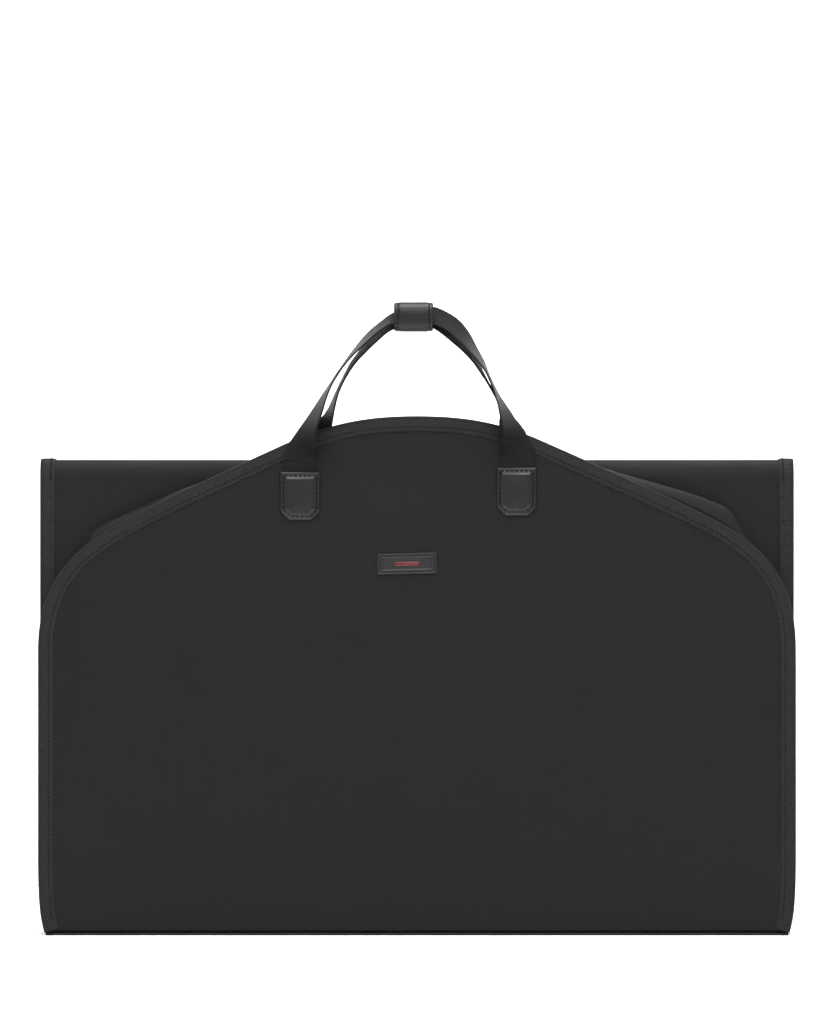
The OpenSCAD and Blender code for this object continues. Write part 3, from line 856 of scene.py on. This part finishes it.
def bottom_fold():
    """Strip that the bag stands on: nylon outside and lining inside, rounded where it
    turns up at the front and the back, its ends bound."""
    y0, y1 = float(low("bottom_fold")[1]), float(high("bottom_fold")[1])
    half = float(high("bottom_fold")[0])
    x = np.linspace(-half, half, 120)
    v = np.linspace(0, 1, 21)
    sole = 0.1 * MM + 0.9 * MM * (2 * np.abs(v - 0.5)) ** 8
    for name, lift, finish, node in (("bottom_cloth", 0.0, "nylon", "bottom_fold"),
                                     ("bottom_lining", 0.95 * MM, "lining",
                                      "bottom_fold_lining")):
        xs = np.broadcast_to(x[None], (len(v), len(x)))
        ys = np.broadcast_to((y0 + v * (y1 - y0))[:, None], xs.shape)
        zs = sole[:, None] + lift + 0.06 * MM * np.sin(xs / 0.017)
        grid = np.stack([xs, ys, zs], -1)
        grid = grid[::-1] if lift == 0 else grid
        piece = cloth_piece(name, grid, FINISH[finish], thickness=0.8 * MM,
                            uvs=grid[..., [0, 1]].reshape(-1, 2))
        place_piece(piece, finish, "fold_base", node)
        declare_sheet(piece)
    for side, name in ((-1, "left"), (1, "right")):
        lo, hi = low(f"bottom_binding_{name}"), high(f"bottom_binding_{name}")
        outer = hi[0] if side > 0 else -lo[0]
        inner = lo[0] if side > 0 else -hi[0]
        path = np.stack([np.full(60, side * outer), np.linspace(lo[1], hi[1], 60),
                         np.full(60, STRIP_T / 2)], 1)
        across = np.tile([-float(side), 0.0, 0.0], (60, 1))
        out = np.tile([0.0, 0.0, 1.0], (60, 1))
        profile = tube_profile(outer - inner, STRIP_T / 2, STRIP_T / 2, overlap=0)
        piece = profile_piece(f"bottom_tape_{name}", path, across, out, profile,
                              FINISH["tape"])
        place_piece(piece, "tape", "fold_base", f"bottom_binding_{name}")


# ------------------------------------------------------------------ zips
def zip_run(name, path, out, half_gap, tape_nodes, coil_nodes, body=None, blend=None):
    """A closed zip along a path in Y and Z: two woven tapes, and a coil of small bowed
    loops, one for each turn, that lie across the middle and interlock in two rows."""
    sizes = set_sizes()
    line = even(path, max(20, int(length_of(path) / 0.004)))
    d = heading(line)
    face = np.stack([-d[:, 1], d[:, 0]], 1) * out
    coil_half = float(high("end_zip_coil")[0])
    run = run_along(line)
    made = []
    for side, word in ((-1, "left"), (1, "right")):
        x = np.linspace(coil_half * 0.35, half_gap + 1.5 * MM, 9) * side
        x = x if (side > 0) == (out > 0) else x[::-1]
        seam = 0.25 * MM * np.cos((np.abs(x) - half_gap) / half_gap * 3)
        xs = np.broadcast_to(x[None], (len(line), len(x)))
        points = np.stack([xs, line[:, :1] + face[:, :1] * seam,
                           line[:, 1:] + face[:, 1:] * seam], -1)
        uv = np.stack([xs.ravel(), np.broadcast_to(run[:, None], xs.shape).ravel()], 1)
        tape = cloth_piece(f"{name}_tape_{word}", points, FINISH["zip_tape"],
                           thickness=0.6 * MM, uvs=uv)
        made.append(place_piece(tape, "zip_tape", None))
        declare_sheet(tape)
    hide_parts(*tape_nodes)

    count = int(length_of(path) / sizes.tooth)
    at = even(line, 2 * count + 1)[1::2]
    ahead = heading(at)
    up = np.stack([-ahead[:, 1], ahead[:, 0]], 1) * out
    # one loop: a bowed rod of five rings of six points, from the tape to past the middle
    s = np.array([1.0, 0.7, 0.25, -0.1, -0.22])
    bow = np.array([0.15, 0.95, 1.05, 0.9, 0.55]) * 0.95 * MM
    r = np.array([0.42, 0.5, 0.55, 0.6, 0.35]) * MM
    turn = np.arange(6) * math.pi / 3
    lx = (s * coil_half)[:, None] + 0 * turn
    lu = bow[:, None] + r[:, None] * np.cos(turn)
    la = r[:, None] * np.sin(turn) * 0.85
    local = np.stack([lx.ravel(), lu.ravel(), la.ravel()], 1)
    side = np.where(np.arange(count) % 2 == 0, 1.0, -1.0)
    points = np.empty((count, 30, 3))
    points[..., 0] = side[:, None] * local[None, :, 0]
    points[..., 1] = (at[:, None, 0] + up[:, None, 0] * local[None, :, 1]
                      + ahead[:, None, 0] * local[None, :, 2])
    points[..., 2] = (at[:, None, 1] + up[:, None, 1] * local[None, :, 1]
                      + ahead[:, None, 1] * local[None, :, 2])
    coil = make_piece(f"{name}_teeth", points.reshape(-1, 3),
                      repeated(rod_faces(5, 6), 30, count), FINISH["coil"])
    outward_faces(coil)
    made.append(place_piece(coil, "coil", None, *coil_nodes))
    for piece in made:
        if blend is None:
            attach(piece, body)
        else:
            blend_top(piece)


def zips():
    """The zips of the three sections; those of the middle and the end run on over the
    top fold."""
    half_gap = float(low("middle_zip_face_right")[0])
    for front, section in ((True, "middle"), (False, "end")):
        path = over_top(front, proud=-0.9 * MM)
        nodes = [f"{section}_zip_tapes"] + (["top_fold_zip"] if front else [])
        zip_run(f"{section}_zip", path, 1 if front else -1, half_gap, nodes,
                [f"{section}_zip_coil"], blend=front)
    top = float(high("front_zip_tapes")[2])
    path = np.stack([np.full(60, FRONT_BACK_Y - 0.9 * MM), np.linspace(LOW_Z, top, 60)], 1)
    zip_run("front_zip", path, -1, half_gap, ["front_zip_tapes"], ["front_zip_coil"],
            body="front_section")


# ------------------------------------------------------------------ handles
HINGE_Z = float(high("front_strap_end_left")[2])
FRONT_HINGE_Y = float(low("front_strap_end_left")[1] + 0.8 * MM)
REAR_HINGE_Z = float(high("rear_strap_end_left")[2])
REAR_HINGE_Y = float(low("rear_strap_end_left")[1] + 0.8 * MM)
LEFT_X = float(low("front_strap_end_left")[0] + high("front_strap_end_left")[0]) / 2
RIGHT_X = float(low("front_strap_end_right")[0] + high("front_strap_end_right")[0]) / 2

PATCH_HALF_W, PATCH_H, PATCH_CUT = 15.3 * MM, 37.5 * MM, 6.7 * MM
PATCH_SEAM = 2.8 * MM  # from a patch's rim in to its stitches
# how far each patch sits above its place in the frame: the front pair is sewn unevenly
PATCH_RAISED = {("front", "left"): -1.6 * MM, ("front", "right"): 1.8 * MM,
                ("rear", "left"): 0.0, ("rear", "right"): 0.0}

# Middle line of each webbing up to the wrap: X, Z and turn in degrees, in mm
FRONT_LEFT = [(-89.1, 361.5, 0), (-88.4, 368, 14), (-86.2, 376, 42), (-83.0, 384, 56),
              (-79.3, 392, 65), (-75.4, 400, 71), (-71.2, 409, 78), (-66.0, 418.5, 84),
              (-60.2, 427.3, 86), (-55.5, 433.5, 85.5), (-51.0, 439.1, 84), (-44.5, 446.2, 81),
              (-36.8, 453.9, 76), (-28.9, 461.2, 72), (-22.3, 466.8, 66), (-18.0, 469, 56)]
FRONT_RIGHT = [(75.9, 361.5, 0), (76.1, 368, 8), (75.0, 376, 33), (73.0, 384, 50),
               (69.7, 391, 61), (67.2, 397.4, 68), (64.2, 404.7, 76), (61.2, 410.6, 81),
               (57.2, 419.4, 85), (52.6, 428.7, 85), (47.8, 437, 79), (41.6, 445.3, 73),
               (34.0, 455.4, 63), (25.0, 464.8, 50), (14.0, 471.6, 30)]
REAR_LEFT = [(-89.1, 364.5, 0), (-84.5, 372, 0), (-79.6, 380, 0), (-74.8, 386, 0),
             (-70.2, 391, 34), (-68.2, 394, 58), (-66.3, 398.6, 72), (-64.4, 404, 79),
             (-61.2, 414, 83.5), (-56.5, 425, 84), (-50.1, 437, 81), (-43.2, 446.1, 78),
             (-36.5, 454.1, 73), (-27.9, 461.5, 70), (-19.8, 466.7, 58)]
REAR_RIGHT = [(75.9, 364.5, 0), (74.8, 372, 0), (73.2, 380, 0), (71.2, 386, 0),
              (69.0, 391.5, 30), (66.4, 398, 72), (64.2, 404.7, 82), (60.6, 411, 85),
              (56.4, 418.5, 87), (50.4, 429.8, 84), (46.0, 438.4, 79), (40.7, 446.6, 73),
              (33.9, 455.1, 65), (24.8, 463.7, 52), (14.0, 470.0, 30)]


def curve_through(points, count):
    """A smooth curve through points: each stretch is a cubic whose end tangents are half
    the step between the neighbours, resampled at even steps."""
    p = np.asarray(points, float)
    ends = np.concatenate([[2 * p[0] - p[1]], p, [2 * p[-1] - p[-2]]])
    parts = []
    t = np.linspace(0, 1, 24)[:-1, None]
    for i in range(len(p) - 1):
        a, b, c, e = ends[i:i + 4]
        parts.append(0.5 * (2 * b + (c - a) * t + (2 * a - 5 * b + 4 * c - e) * t ** 2
                            + (3 * b - a - 3 * c + e) * t ** 3))
    return even(np.concatenate(parts + [p[-1:]]), count)


def handle_line(left, right, rear):
    """Middle line, width direction, thickness direction and half width of a webbing from
    its left hinge line through the wrap to its right one. The turn keeps one edge clear
    of the bag behind it; both webbings close up in the wrap."""
    sizes = set_sizes()
    scale = np.array([MM, MM, 1.0])
    ends = np.array([[LEFT_X, HINGE_Z], [RIGHT_X, HINGE_Z]]) if not rear else np.array(
        [[LEFT_X, REAR_HINGE_Z], [RIGHT_X, REAR_HINGE_Z]])
    a = np.asarray(left, float) * scale
    b = np.asarray(right, float) * scale
    a[0, :2], b[0, :2] = ends[0], ends[1]
    middle = np.array([[WRAP_X - 9 * MM, WRAP_Z - 1.2 * MM, 46],
                       [WRAP_X + 9 * MM, WRAP_Z + 0.3 * MM, 36]])
    line = curve_through(np.concatenate([a, middle, b[::-1]]), 900)
    x, z, turn = line[:, 0], line[:, 1], np.radians(np.clip(line[:, 2], 0, 90))
    d = heading(line[:, :2])
    off = np.abs(x - WRAP_X)
    grip = (WRAP_HI[0] - WRAP_LO[0]) / 2
    rise = smooth(CREST_Z, WRAP_Z, z)
    half_w = (15.5 * MM + (sizes.webbing - 15.5 * MM)
              * smooth(grip + 1 * MM, grip + 26 * MM, off)) / 2
    if rear:  # its edges curl in where it passes over the crest
        half_w = half_w * (1 - 0.38 * np.exp(-((z - CREST_Z + 5 * MM) / (9 * MM)) ** 2))
    held = 1.0 if rear else 1 - smooth(CREST_Z - 15 * MM, CREST_Z + 25 * MM, z)
    base = (REAR_HINGE_Y if rear else FRONT_HINGE_Y) - held * (
        sizes.webbing - sizes.webbing_t) / 2 * np.sin(turn)
    y = base + (WRAP_Y - base) * rise
    n = np.stack([-d[:, 1], 0 * x, d[:, 0]], 1)
    toward = np.array([[0.0, 1.0, 0.0]])
    wide = n * np.cos(turn)[:, None] + toward * np.sin(turn)[:, None]
    thick = -n * np.sin(turn)[:, None] + toward * np.cos(turn)[:, None]
    spread = (0.75 if rear else -0.75) * sizes.webbing_t * rise * (
        1 + smooth(grip + 2 * MM, grip + 16 * MM, off))
    path = np.stack([x, y, z], 1) + spread[:, None] * thick
    return path, wide, thick, half_w


def webbing_piece(name, path, wide, thick, half_w):
    """Ribbed webbing: a flat rounded section carried along the path, whose face swells
    and narrows once for each rib, a little less at the selvedges."""
    sizes = set_sizes()
    steps = max(8, int(length_of(path) / (sizes.rib / 5)))
    joined = even(np.concatenate([path, wide, thick, np.broadcast_to(
        np.reshape(half_w, (-1, 1)), (len(path), 1))], 1), steps)
    path, wide, thick = joined[:, :3], unit(joined[:, 3:6]), unit(joined[:, 6:9])
    half_w = joined[:, 9]
    run = run_along(path)
    u = np.array([-1, -0.97, -0.9, -0.75, -0.5, -0.25, 0, 0.25, 0.5, 0.75, 0.9, 0.97, 1])
    face = np.concatenate([u, u[-2:0:-1]])
    outer = np.concatenate([-np.ones(13), np.ones(11)])
    edge = np.clip((1 - np.abs(face)) / 0.06, 0, 1)
    shape = np.where(np.abs(face) >= 1, 0, 0.55 + 0.45 * np.sqrt(edge))
    rib = 0.5 + 0.5 * np.cos(2 * math.pi * run / sizes.rib)
    body = smooth(0.02, 0.14, 1 - np.abs(face))
    half_t = sizes.webbing_t / 2 * (0.78 + 0.26 * rib[:, None] * body[None])
    a = half_w[:, None] * face[None] * (1 + 0.006 * np.sin(run * 2 * math.pi
                                                           / sizes.rib))[:, None]
    b = half_t * (outer * shape)[None]
    points = (path[:, None] + a[..., None] * wide[:, None] + b[..., None] * thick[:, None])
    n, m = len(path), len(face)
    faces = rod_faces(n, m)
    uv = np.stack([np.broadcast_to(a, (n, m)).ravel(),
                   np.broadcast_to(run[:, None], (n, m)).ravel()], 1)
    piece = make_piece(name, points.reshape(-1, 3), faces, FINISH["webbing"], uv)
    outward_faces(piece)
    return piece


def handles():
    """Both webbings, and the sewn ends that carry them."""
    sizes = set_sizes()
    for name, left, right, rear in (("front", FRONT_LEFT, FRONT_RIGHT, False),
                                    ("rear", REAR_LEFT, REAR_RIGHT, True)):
        path, wide, thick, half_w = handle_line(left, right, rear)
        piece = webbing_piece(f"{name}_handle_webbing", path, wide, thick, half_w)
        place_piece(piece, "webbing", f"{name}_handle", f"{name}_webbing")
        for word in ("left", "right"):
            node = f"{name}_strap_end_{word}"
            lo, hi = low(node), high(node)
            x = (lo[0] + hi[0]) / 2
            patch = low(f"{name}_patch_{word}")[2] + PATCH_H
            flat_y = hi[1] - sizes.webbing_t / 2
            hinge_y = REAR_HINGE_Y if rear else FRONT_HINGE_Y
            z = np.linspace(lo[2], hi[2] + 0.2 * MM, 60)
            y = flat_y + (hinge_y - flat_y) * smooth(patch - 1 * MM, hi[2] - 1 * MM, z)
            line = np.stack([np.full(60, x), y, z], 1)
            end = webbing_piece(f"{name}_webbing_end_{word}", line,
                                np.tile([1.0, 0, 0], (60, 1)), np.tile([0, 1.0, 0], (60, 1)),
                                np.full(60, sizes.webbing / 2))
            place_piece(end, "webbing", None, node)
            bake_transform(end)


def patch_height(x, z):
    """Height of a patch's face above the cloth, from the distance to its nearest edge: a
    rolled rim, a stitched groove and a padded field inside it."""
    slant = (PATCH_HALF_W + (PATCH_H - PATCH_CUT) - np.abs(x) + z) / math.sqrt(2)
    d = np.minimum(np.minimum(PATCH_HALF_W - np.abs(x), -z),
                   np.minimum(PATCH_H + z, slant))
    rim = 1.7 * MM + 1.3 * MM * np.sqrt(np.clip(d / (1.3 * MM), 0, 1))
    groove = 0.55 * MM * np.exp(-((d - PATCH_SEAM) / (0.7 * MM)) ** 2)
    field = 0.95 * MM * smooth(4.4 * MM, 5.7 * MM, d) + 0.35 * MM * smooth(
        5 * MM, 13 * MM, d)
    return rim - groove + field


def patches():
    """Leather patches over the strap ends: a grid of rings from the rim to the middle,
    raised by the patch's height, with side walls, and stitches in the groove."""
    w, h, cut = PATCH_HALF_W, PATCH_H, PATCH_CUT
    corners = np.array([(-w, 0), (w, 0), (w, cut - h), (w - cut, -h), (cut - w, -h),
                        (-w, cut - h), (-w, 0)])
    rim = even(corners, 241)[:-1]
    for _ in range(3):  # softens the corners
        rim = (np.roll(rim, 1, 0) + 2 * rim + np.roll(rim, -1, 0)) / 4
    centre = np.array([0, -18.2 * MM])
    share = np.concatenate([[1.0, 1.0], 1 - np.linspace(0, 1, 42)[1:-1] ** 0.9])
    flat = centre + (rim - centre)[None] * share[:, None, None]
    height = patch_height(flat[..., 0], flat[..., 1])
    height[0] = -0.2 * MM
    height[1] = 1.6 * MM
    rows, m = height.shape
    faces = grid_faces(rows, m, close_columns=True).tolist()
    faces += [list(range((rows - 1) * m, rows * m)), list(range(m - 1, -1, -1))]
    seam = centre + (rim - centre) * (1 - PATCH_SEAM / (16.2 * MM))
    lift = patch_height(seam[:, 0], seam[:, 1])
    for (name, word), raised in PATCH_RAISED.items():
        lo, hi = low(f"{name}_patch_{word}"), high(f"{name}_patch_{word}")
        x0, y0, z0 = (lo[0] + hi[0]) / 2, hi[1], hi[2] + raised
        points = np.stack([x0 + flat[..., 0], y0 - height, z0 + flat[..., 1]], -1)
        piece = make_piece(f"{name}_leather_patch_{word}", points.reshape(-1, 3), faces,
                           FINISH["leather"])
        outward_faces(piece)
        body = "middle_section" if name == "rear" else "front_section"
        place_piece(piece, "leather", body, f"{name}_patch_{word}")
        line = np.stack([x0 + seam[:, 0], y0 - lift, z0 + seam[:, 1]], 1)
        line = np.concatenate([line, line[:1]])
        row = stitches(f"{name}_patch_stitches_{word}", line,
                       np.tile([0.0, -1.0, 0.0], (len(line), 1)), FINISH["thread"],
                       thread=0.85 * MM)
        place_piece(row, "thread", body)


def wrap():
    """Leather grip in two halves round both webbings. Each half is a shell whose outer
    face is a rounded tube, drawn in at its ends and along the two rows of stitches."""
    x0, x1 = float(WRAP_LO[0]), float(WRAP_HI[0])
    half_h = float(WRAP_HI[2] - WRAP_LO[2]) / 2
    depth = float(WRAP_HI[1] - WRAP_LO[1])
    seam = 3.2 * MM
    for name, out, node, body in (("front", -1, "wrap_front", "front_handle"),
                                  ("flap", 1, "wrap_flap", None)):
        u = np.linspace(0, 1, 61)
        x = x0 + (x1 - x0) * u
        inset = np.minimum(x - x0, x1 - x)
        puff = (0.55 * MM * smooth(0, 4 * MM, inset)
                - 0.55 * MM * np.exp(-((inset - seam) / (0.8 * MM)) ** 2)
                - 0.8 * MM * (1 - np.sqrt(np.clip(inset / (1.2 * MM), 0, 1))))
        a = np.linspace(-math.pi / 2, math.pi / 2, 41)
        c, s = np.cos(a), np.sin(a)
        power = 0.72
        yy, zz = np.abs(c) ** power, np.sign(s) * np.abs(s) ** power
        inner = 1.9 * MM
        oy = (depth - 0.2 * MM + puff[:, None] * 0.8) * yy[None]
        oz = (half_h - 0.2 * MM + puff[:, None]) * zz[None]
        iy = (depth - inner * 1.6) * yy[None] + 0 * oy
        iz = (half_h - inner) * zz[None] + 0 * oz
        y = np.concatenate([oy, iy[:, ::-1]], 1)
        z = np.concatenate([oz, iz[:, ::-1]], 1)
        xs = np.broadcast_to(x[:, None], y.shape)
        edge = WRAP_Y + out * 0.15 * MM
        points = np.stack([xs, edge + out * y, WRAP_Z + z], -1)
        rows, m = y.shape
        faces = grid_faces(rows, m, close_columns=True).tolist()
        half = m // 2
        for end in (0, (rows - 1) * m):
            faces += [[end + j, end + j + 1, end + m - 2 - j, end + m - 1 - j]
                      for j in range(half - 1)]
        piece = make_piece(f"wrap_leather_{name}", points.reshape(-1, 3), faces,
                           FINISH["leather"])
        outward_faces(piece)
        place_piece(piece, "leather", body, node)
        seams = []
        for end in (seam, (x1 - x0) - seam):
            i = int(np.argmin(np.abs(x - x0 - end)))
            line = points[i, 2:39]
            away = line - np.array([line[0][0], WRAP_Y, WRAP_Z])
            row = stitches(f"wrap_stitches_{name}_{len(seams)}", line, away,
                           FINISH["thread"], thread=0.8 * MM, pitch=3.2 * MM)
            seams.append(place_piece(row, "thread", body))
        if body is None:
            for made in [piece] + seams:
                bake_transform(made)


# ------------------------------------------------------------------ badge and metal parts
def plate_piece(name, w, h, rings, radius, base, material):
    """A rounded plate on the front: its outline is drawn in by each ring's inset and
    raised to that ring's height, then turned by the badge's small tilt."""
    a = np.linspace(0, 2 * math.pi, 97)[:-1] + math.pi / 4
    points = []
    for inset, height in rings:
        r = max(radius - inset, 0.15 * MM)
        x = np.sign(np.cos(a)) * (w / 2 - inset - r) + r * np.cos(a)
        z = np.sign(np.sin(a)) * (h / 2 - inset - r) + r * np.sin(a)
        points.append(np.stack([x, np.full(len(a), -base - height), z], 1))
    points = np.array(points)
    points = on_badge(points)
    m = len(a)
    faces = grid_faces(len(rings), m, close_columns=True).tolist()
    faces += [list(range(m)), list(range((len(rings) - 1) * m, len(rings) * m))]
    piece = make_piece(name, points.reshape(-1, 3), faces, material)
    outward_faces(piece)
    soft = piece.modifiers.new("Corners", "BEVEL")
    soft.width, soft.segments, soft.limit_method = 0.12 * MM, 2, "ANGLE"
    return piece


BADGE_X = float(low("badge_base")[0] + high("badge_base")[0]) / 2
BADGE_Z = float(low("badge_base")[2] + high("badge_base")[2]) / 2
BADGE_Y = float(high("badge_base")[1])
BADGE_TILT = math.radians(1.5)


def on_badge(points):
    """Points drawn round the badge's middle, turned by its small tilt and set in place."""
    x, y, z = points[..., 0], points[..., 1], points[..., 2]
    return np.stack([BADGE_X + x * math.cos(BADGE_TILT) - z * math.sin(BADGE_TILT),
                     BADGE_Y + y,
                     BADGE_Z + x * math.sin(BADGE_TILT) + z * math.cos(BADGE_TILT)], -1)


def badge():
    """Badge: a rounded base with a raised rim, a second rimmed plate on it, a plain
    lozenge as its mark and four small dots near its corners."""
    base = plate_piece("badge_base_moulding", 46.4 * MM, 16.2 * MM,
                       [(0, -0.5 * MM), (0, 1.0 * MM), (0.45 * MM, 1.6 * MM),
                        (1.1 * MM, 1.6 * MM), (1.5 * MM, 1.2 * MM), (2.2 * MM, 1.2 * MM)],
                       2.4 * MM, 1.2 * MM, FINISH["badge"])
    place_piece(base, "badge", "front_section", "badge_base")
    plate = plate_piece("badge_plate_moulding", 41.0 * MM, 11.0 * MM,
                        [(0, 1.1 * MM), (0, 1.8 * MM), (0.35 * MM, 2.2 * MM),
                         (0.9 * MM, 2.2 * MM), (1.3 * MM, 1.85 * MM), (3 * MM, 1.85 * MM)],
                        1.6 * MM, 1.2 * MM, FINISH["badge"])
    place_piece(plate, "badge", "front_section", "badge_plate")
    mark = plate_piece("badge_mark_enamel", 19.0 * MM, 3.0 * MM,
                       [(0, 1.7 * MM), (0, 2.05 * MM), (0.3 * MM, 2.2 * MM)],
                       1.5 * MM, 1.2 * MM, FINISH["enamel"])
    place_piece(mark, "enamel", "front_section", "badge_mark")
    # four small dark dots near the corners of the plate
    a = np.linspace(0, 2 * math.pi, 17)[:-1]
    points = []
    for cx, cz in ((-18.2, -3.5), (18.2, -3.5), (18.2, 3.5), (-18.2, 3.5)):
        for r, height in ((0.65, 1.5), (0.65, 1.95), (0.4, 2.05)):
            points.append(np.stack([cx + r * np.cos(a), np.full(len(a), -1.2 - height),
                                    cz + r * np.sin(a)], 1))
    points = on_badge(np.concatenate(points) * MM)
    dots = make_piece("badge_dots", points, repeated(rod_faces(3, 16), 48, 4),
                      FINISH["rivet"])
    outward_faces(dots)
    place_piece(dots, "rivet", "front_section", "badge_rivets")


def hard_parts():
    """Small metal parts that keep their frame shapes, with soft corners and a real
    finish."""
    for node, finish in (("zip_bottom_stop", "metal"), ("zip_slider", "metal"),
                         ("zip_pull", "metal"),
                         ("wrap_magnet_front", "metal"), ("wrap_magnet_flap", "metal")):
        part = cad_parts[node]
        part.data.materials.clear()
        part.data.materials.append(FINISH[finish])
        soft = part.modifiers.new("Corners", "BEVEL")
        soft.width, soft.segments, soft.limit_method = 0.25 * MM, 3, "ANGLE"


# ------------------------------------------------------------------ stage
def area_light(name, place, aim, size, power):
    """A soft rectangular light at a place, facing a point."""
    data = bpy.data.lights.new(name, "AREA")
    data.shape, data.size, data.size_y = "RECTANGLE", size[0], size[1]
    data.energy = power
    lamp = bpy.data.objects.new(name, data)
    bpy.context.scene.collection.objects.link(lamp)
    lamp.location = place
    away = np.array(place) - np.array(aim)
    yaw = math.atan2(away[0], -away[1])
    pitch = math.atan2(math.hypot(away[0], away[1]), away[2])
    lamp.rotation_euler = (pitch, 0, yaw)


def make_stage():
    """A white floor that curves up into a white wall, a bright sky, soft lamps and a
    camera straight in front of the bag."""
    scene = bpy.context.scene
    c = scene.bag_colours
    material, shader = new_material("white_paper", {"Roughness": 0.95,
                                                    "Specular IOR Level": 0.0})
    shader.inputs["Base Color"].default_value = linear(c.floor)
    a = np.linspace(0, math.pi / 2, 24)
    y = np.concatenate([[-6.0, -1.0, 1.5], 2.5 + 1.5 * np.sin(a), [4.0]])
    z = np.concatenate([[0, 0, 0], 1.5 * (1 - np.cos(a)), [5.0]])
    x = np.array([-6.0, -2.0, 2.0, 6.0])
    points = np.stack([np.broadcast_to(x, (len(y), 4)),
                       np.broadcast_to(y[:, None], (len(y), 4)),
                       np.broadcast_to(z[:, None], (len(y), 4))], -1)
    sweep = make_piece("paper_sweep", points.reshape(-1, 3),
                       grid_faces(len(y), 4, flip=True), material)
    world = bpy.data.worlds.new("Studio")
    scene.world = world
    world.use_nodes = True
    world.node_tree.nodes["Background"].inputs["Color"].default_value = (1, 1, 1, 1)
    world.node_tree.nodes["Background"].inputs["Strength"].default_value = 0.45
    area_light("Overhead", (0.15, -0.55, 1.45), (0, 0, 0.3), (1.8, 0.8), 30)
    area_light("Front", (0.7, -3.4, 2.0), (0, 0, 0.3), (1.4, 1.2), 26)
    area_light("Left", (-1.9, -0.9, 1.2), (0, 0, 0.35), (0.8, 1.4), 9)
    area_light("Backdrop", (0, 1.6, 3.2), (0, 3.9, 1.2), (5.0, 1.5), 260)
    data = bpy.data.cameras.new("Camera")
    data.lens, data.sensor_width = 138.46, 36
    data.clip_end = 50
    camera = bpy.data.objects.new("Camera", data)
    camera.location = (0.0023, -3.0, 0.3244)
    camera.rotation_euler = (math.pi / 2, 0, 0)
    scene.collection.objects.link(camera)
    scene.camera = camera
    scene.view_settings.view_transform = "Standard"


# ------------------------------------------------------------------ add-on
def build(*steps):
    """Makes the finishes once and runs the steps in order; a failure in one is raised."""
    if not FINISH:
        FINISH.update(make_finishes())
    for step in steps:
        step()
    return {"FINISHED"}


class GARMENT_BAG_OT_front(bpy.types.Operator):
    """Build the front cloth, its back, gusset and edge binding"""

    bl_idname = "garment_bag.front"
    bl_label = "Front Section"

    def execute(self, context):
        return build(front_binding, front_cover, front_back, front_gusset, slot_binding)


class GARMENT_BAG_OT_sections(bpy.types.Operator):
    """Build the cloths, gussets and bindings behind the front section"""

    bl_idname = "garment_bag.sections"
    bl_label = "Middle and End Sections"

    def execute(self, context):
        return build(section_bindings, section_faces, section_covers, section_gussets,
                     end_hem, bottom_fold)


class GARMENT_BAG_OT_zips(bpy.types.Operator):
    """Build the tapes and coils of the zips"""

    bl_idname = "garment_bag.zips"
    bl_label = "Zips"

    def execute(self, context):
        return build(zips)


class GARMENT_BAG_OT_handles(bpy.types.Operator):
    """Build the webbing handles and their ends"""

    bl_idname = "garment_bag.handles"
    bl_label = "Handles"

    def execute(self, context):
        return build(handles)


class GARMENT_BAG_OT_leather(bpy.types.Operator):
    """Build the patches and the wrap"""

    bl_idname = "garment_bag.leather"
    bl_label = "Leather"

    def execute(self, context):
        return build(patches, wrap)


class GARMENT_BAG_OT_badge(bpy.types.Operator):
    """Build the badge and finish the metal parts"""

    bl_idname = "garment_bag.badge"
    bl_label = "Badge and Metal"

    def execute(self, context):
        return build(badge, hard_parts)


class GARMENT_BAG_OT_stage(bpy.types.Operator):
    """Build the floor, the lights and the camera"""

    bl_idname = "garment_bag.stage"
    bl_label = "Stage"

    def execute(self, context):
        return build(make_stage)


OPERATORS = (GARMENT_BAG_OT_front, GARMENT_BAG_OT_sections, GARMENT_BAG_OT_zips,
             GARMENT_BAG_OT_handles, GARMENT_BAG_OT_leather, GARMENT_BAG_OT_badge,
             GARMENT_BAG_OT_stage)


class GARMENT_BAG_PT_panel(bpy.types.Panel):
    """Lists the bag's sizes, colours and building steps."""

    bl_idname = "GARMENT_BAG_PT_panel"
    bl_label = "Garment Bag"
    bl_space_type = "VIEW_3D"
    bl_region_type = "UI"
    bl_category = "Garment Bag"

    def draw(self, context):
        for group in (context.scene.bag_sizes, context.scene.bag_colours):
            for key in group.__annotations__:
                self.layout.prop(group, key)
        for operator in OPERATORS:
            self.layout.operator(operator.bl_idname)


CLASSES = (BagSizes, BagColours, *OPERATORS, GARMENT_BAG_PT_panel)


def register():
    """Registers the classes and the scene's settings."""
    for item in CLASSES:
        bpy.utils.register_class(item)
    bpy.types.Scene.bag_sizes = bpy.props.PointerProperty(type=BagSizes)
    bpy.types.Scene.bag_colours = bpy.props.PointerProperty(type=BagColours)


def unregister():
    """Removes the settings and the classes."""
    del bpy.types.Scene.bag_colours
    del bpy.types.Scene.bag_sizes
    for item in reversed(CLASSES):
        bpy.utils.unregister_class(item)


def main():
    """Builds the whole bag and its stage."""
    register()
    for operator in OPERATORS:
        group, name = operator.bl_idname.split(".")
        getattr(getattr(bpy.ops, group), name)()


if __name__ == "__main__":
    main()
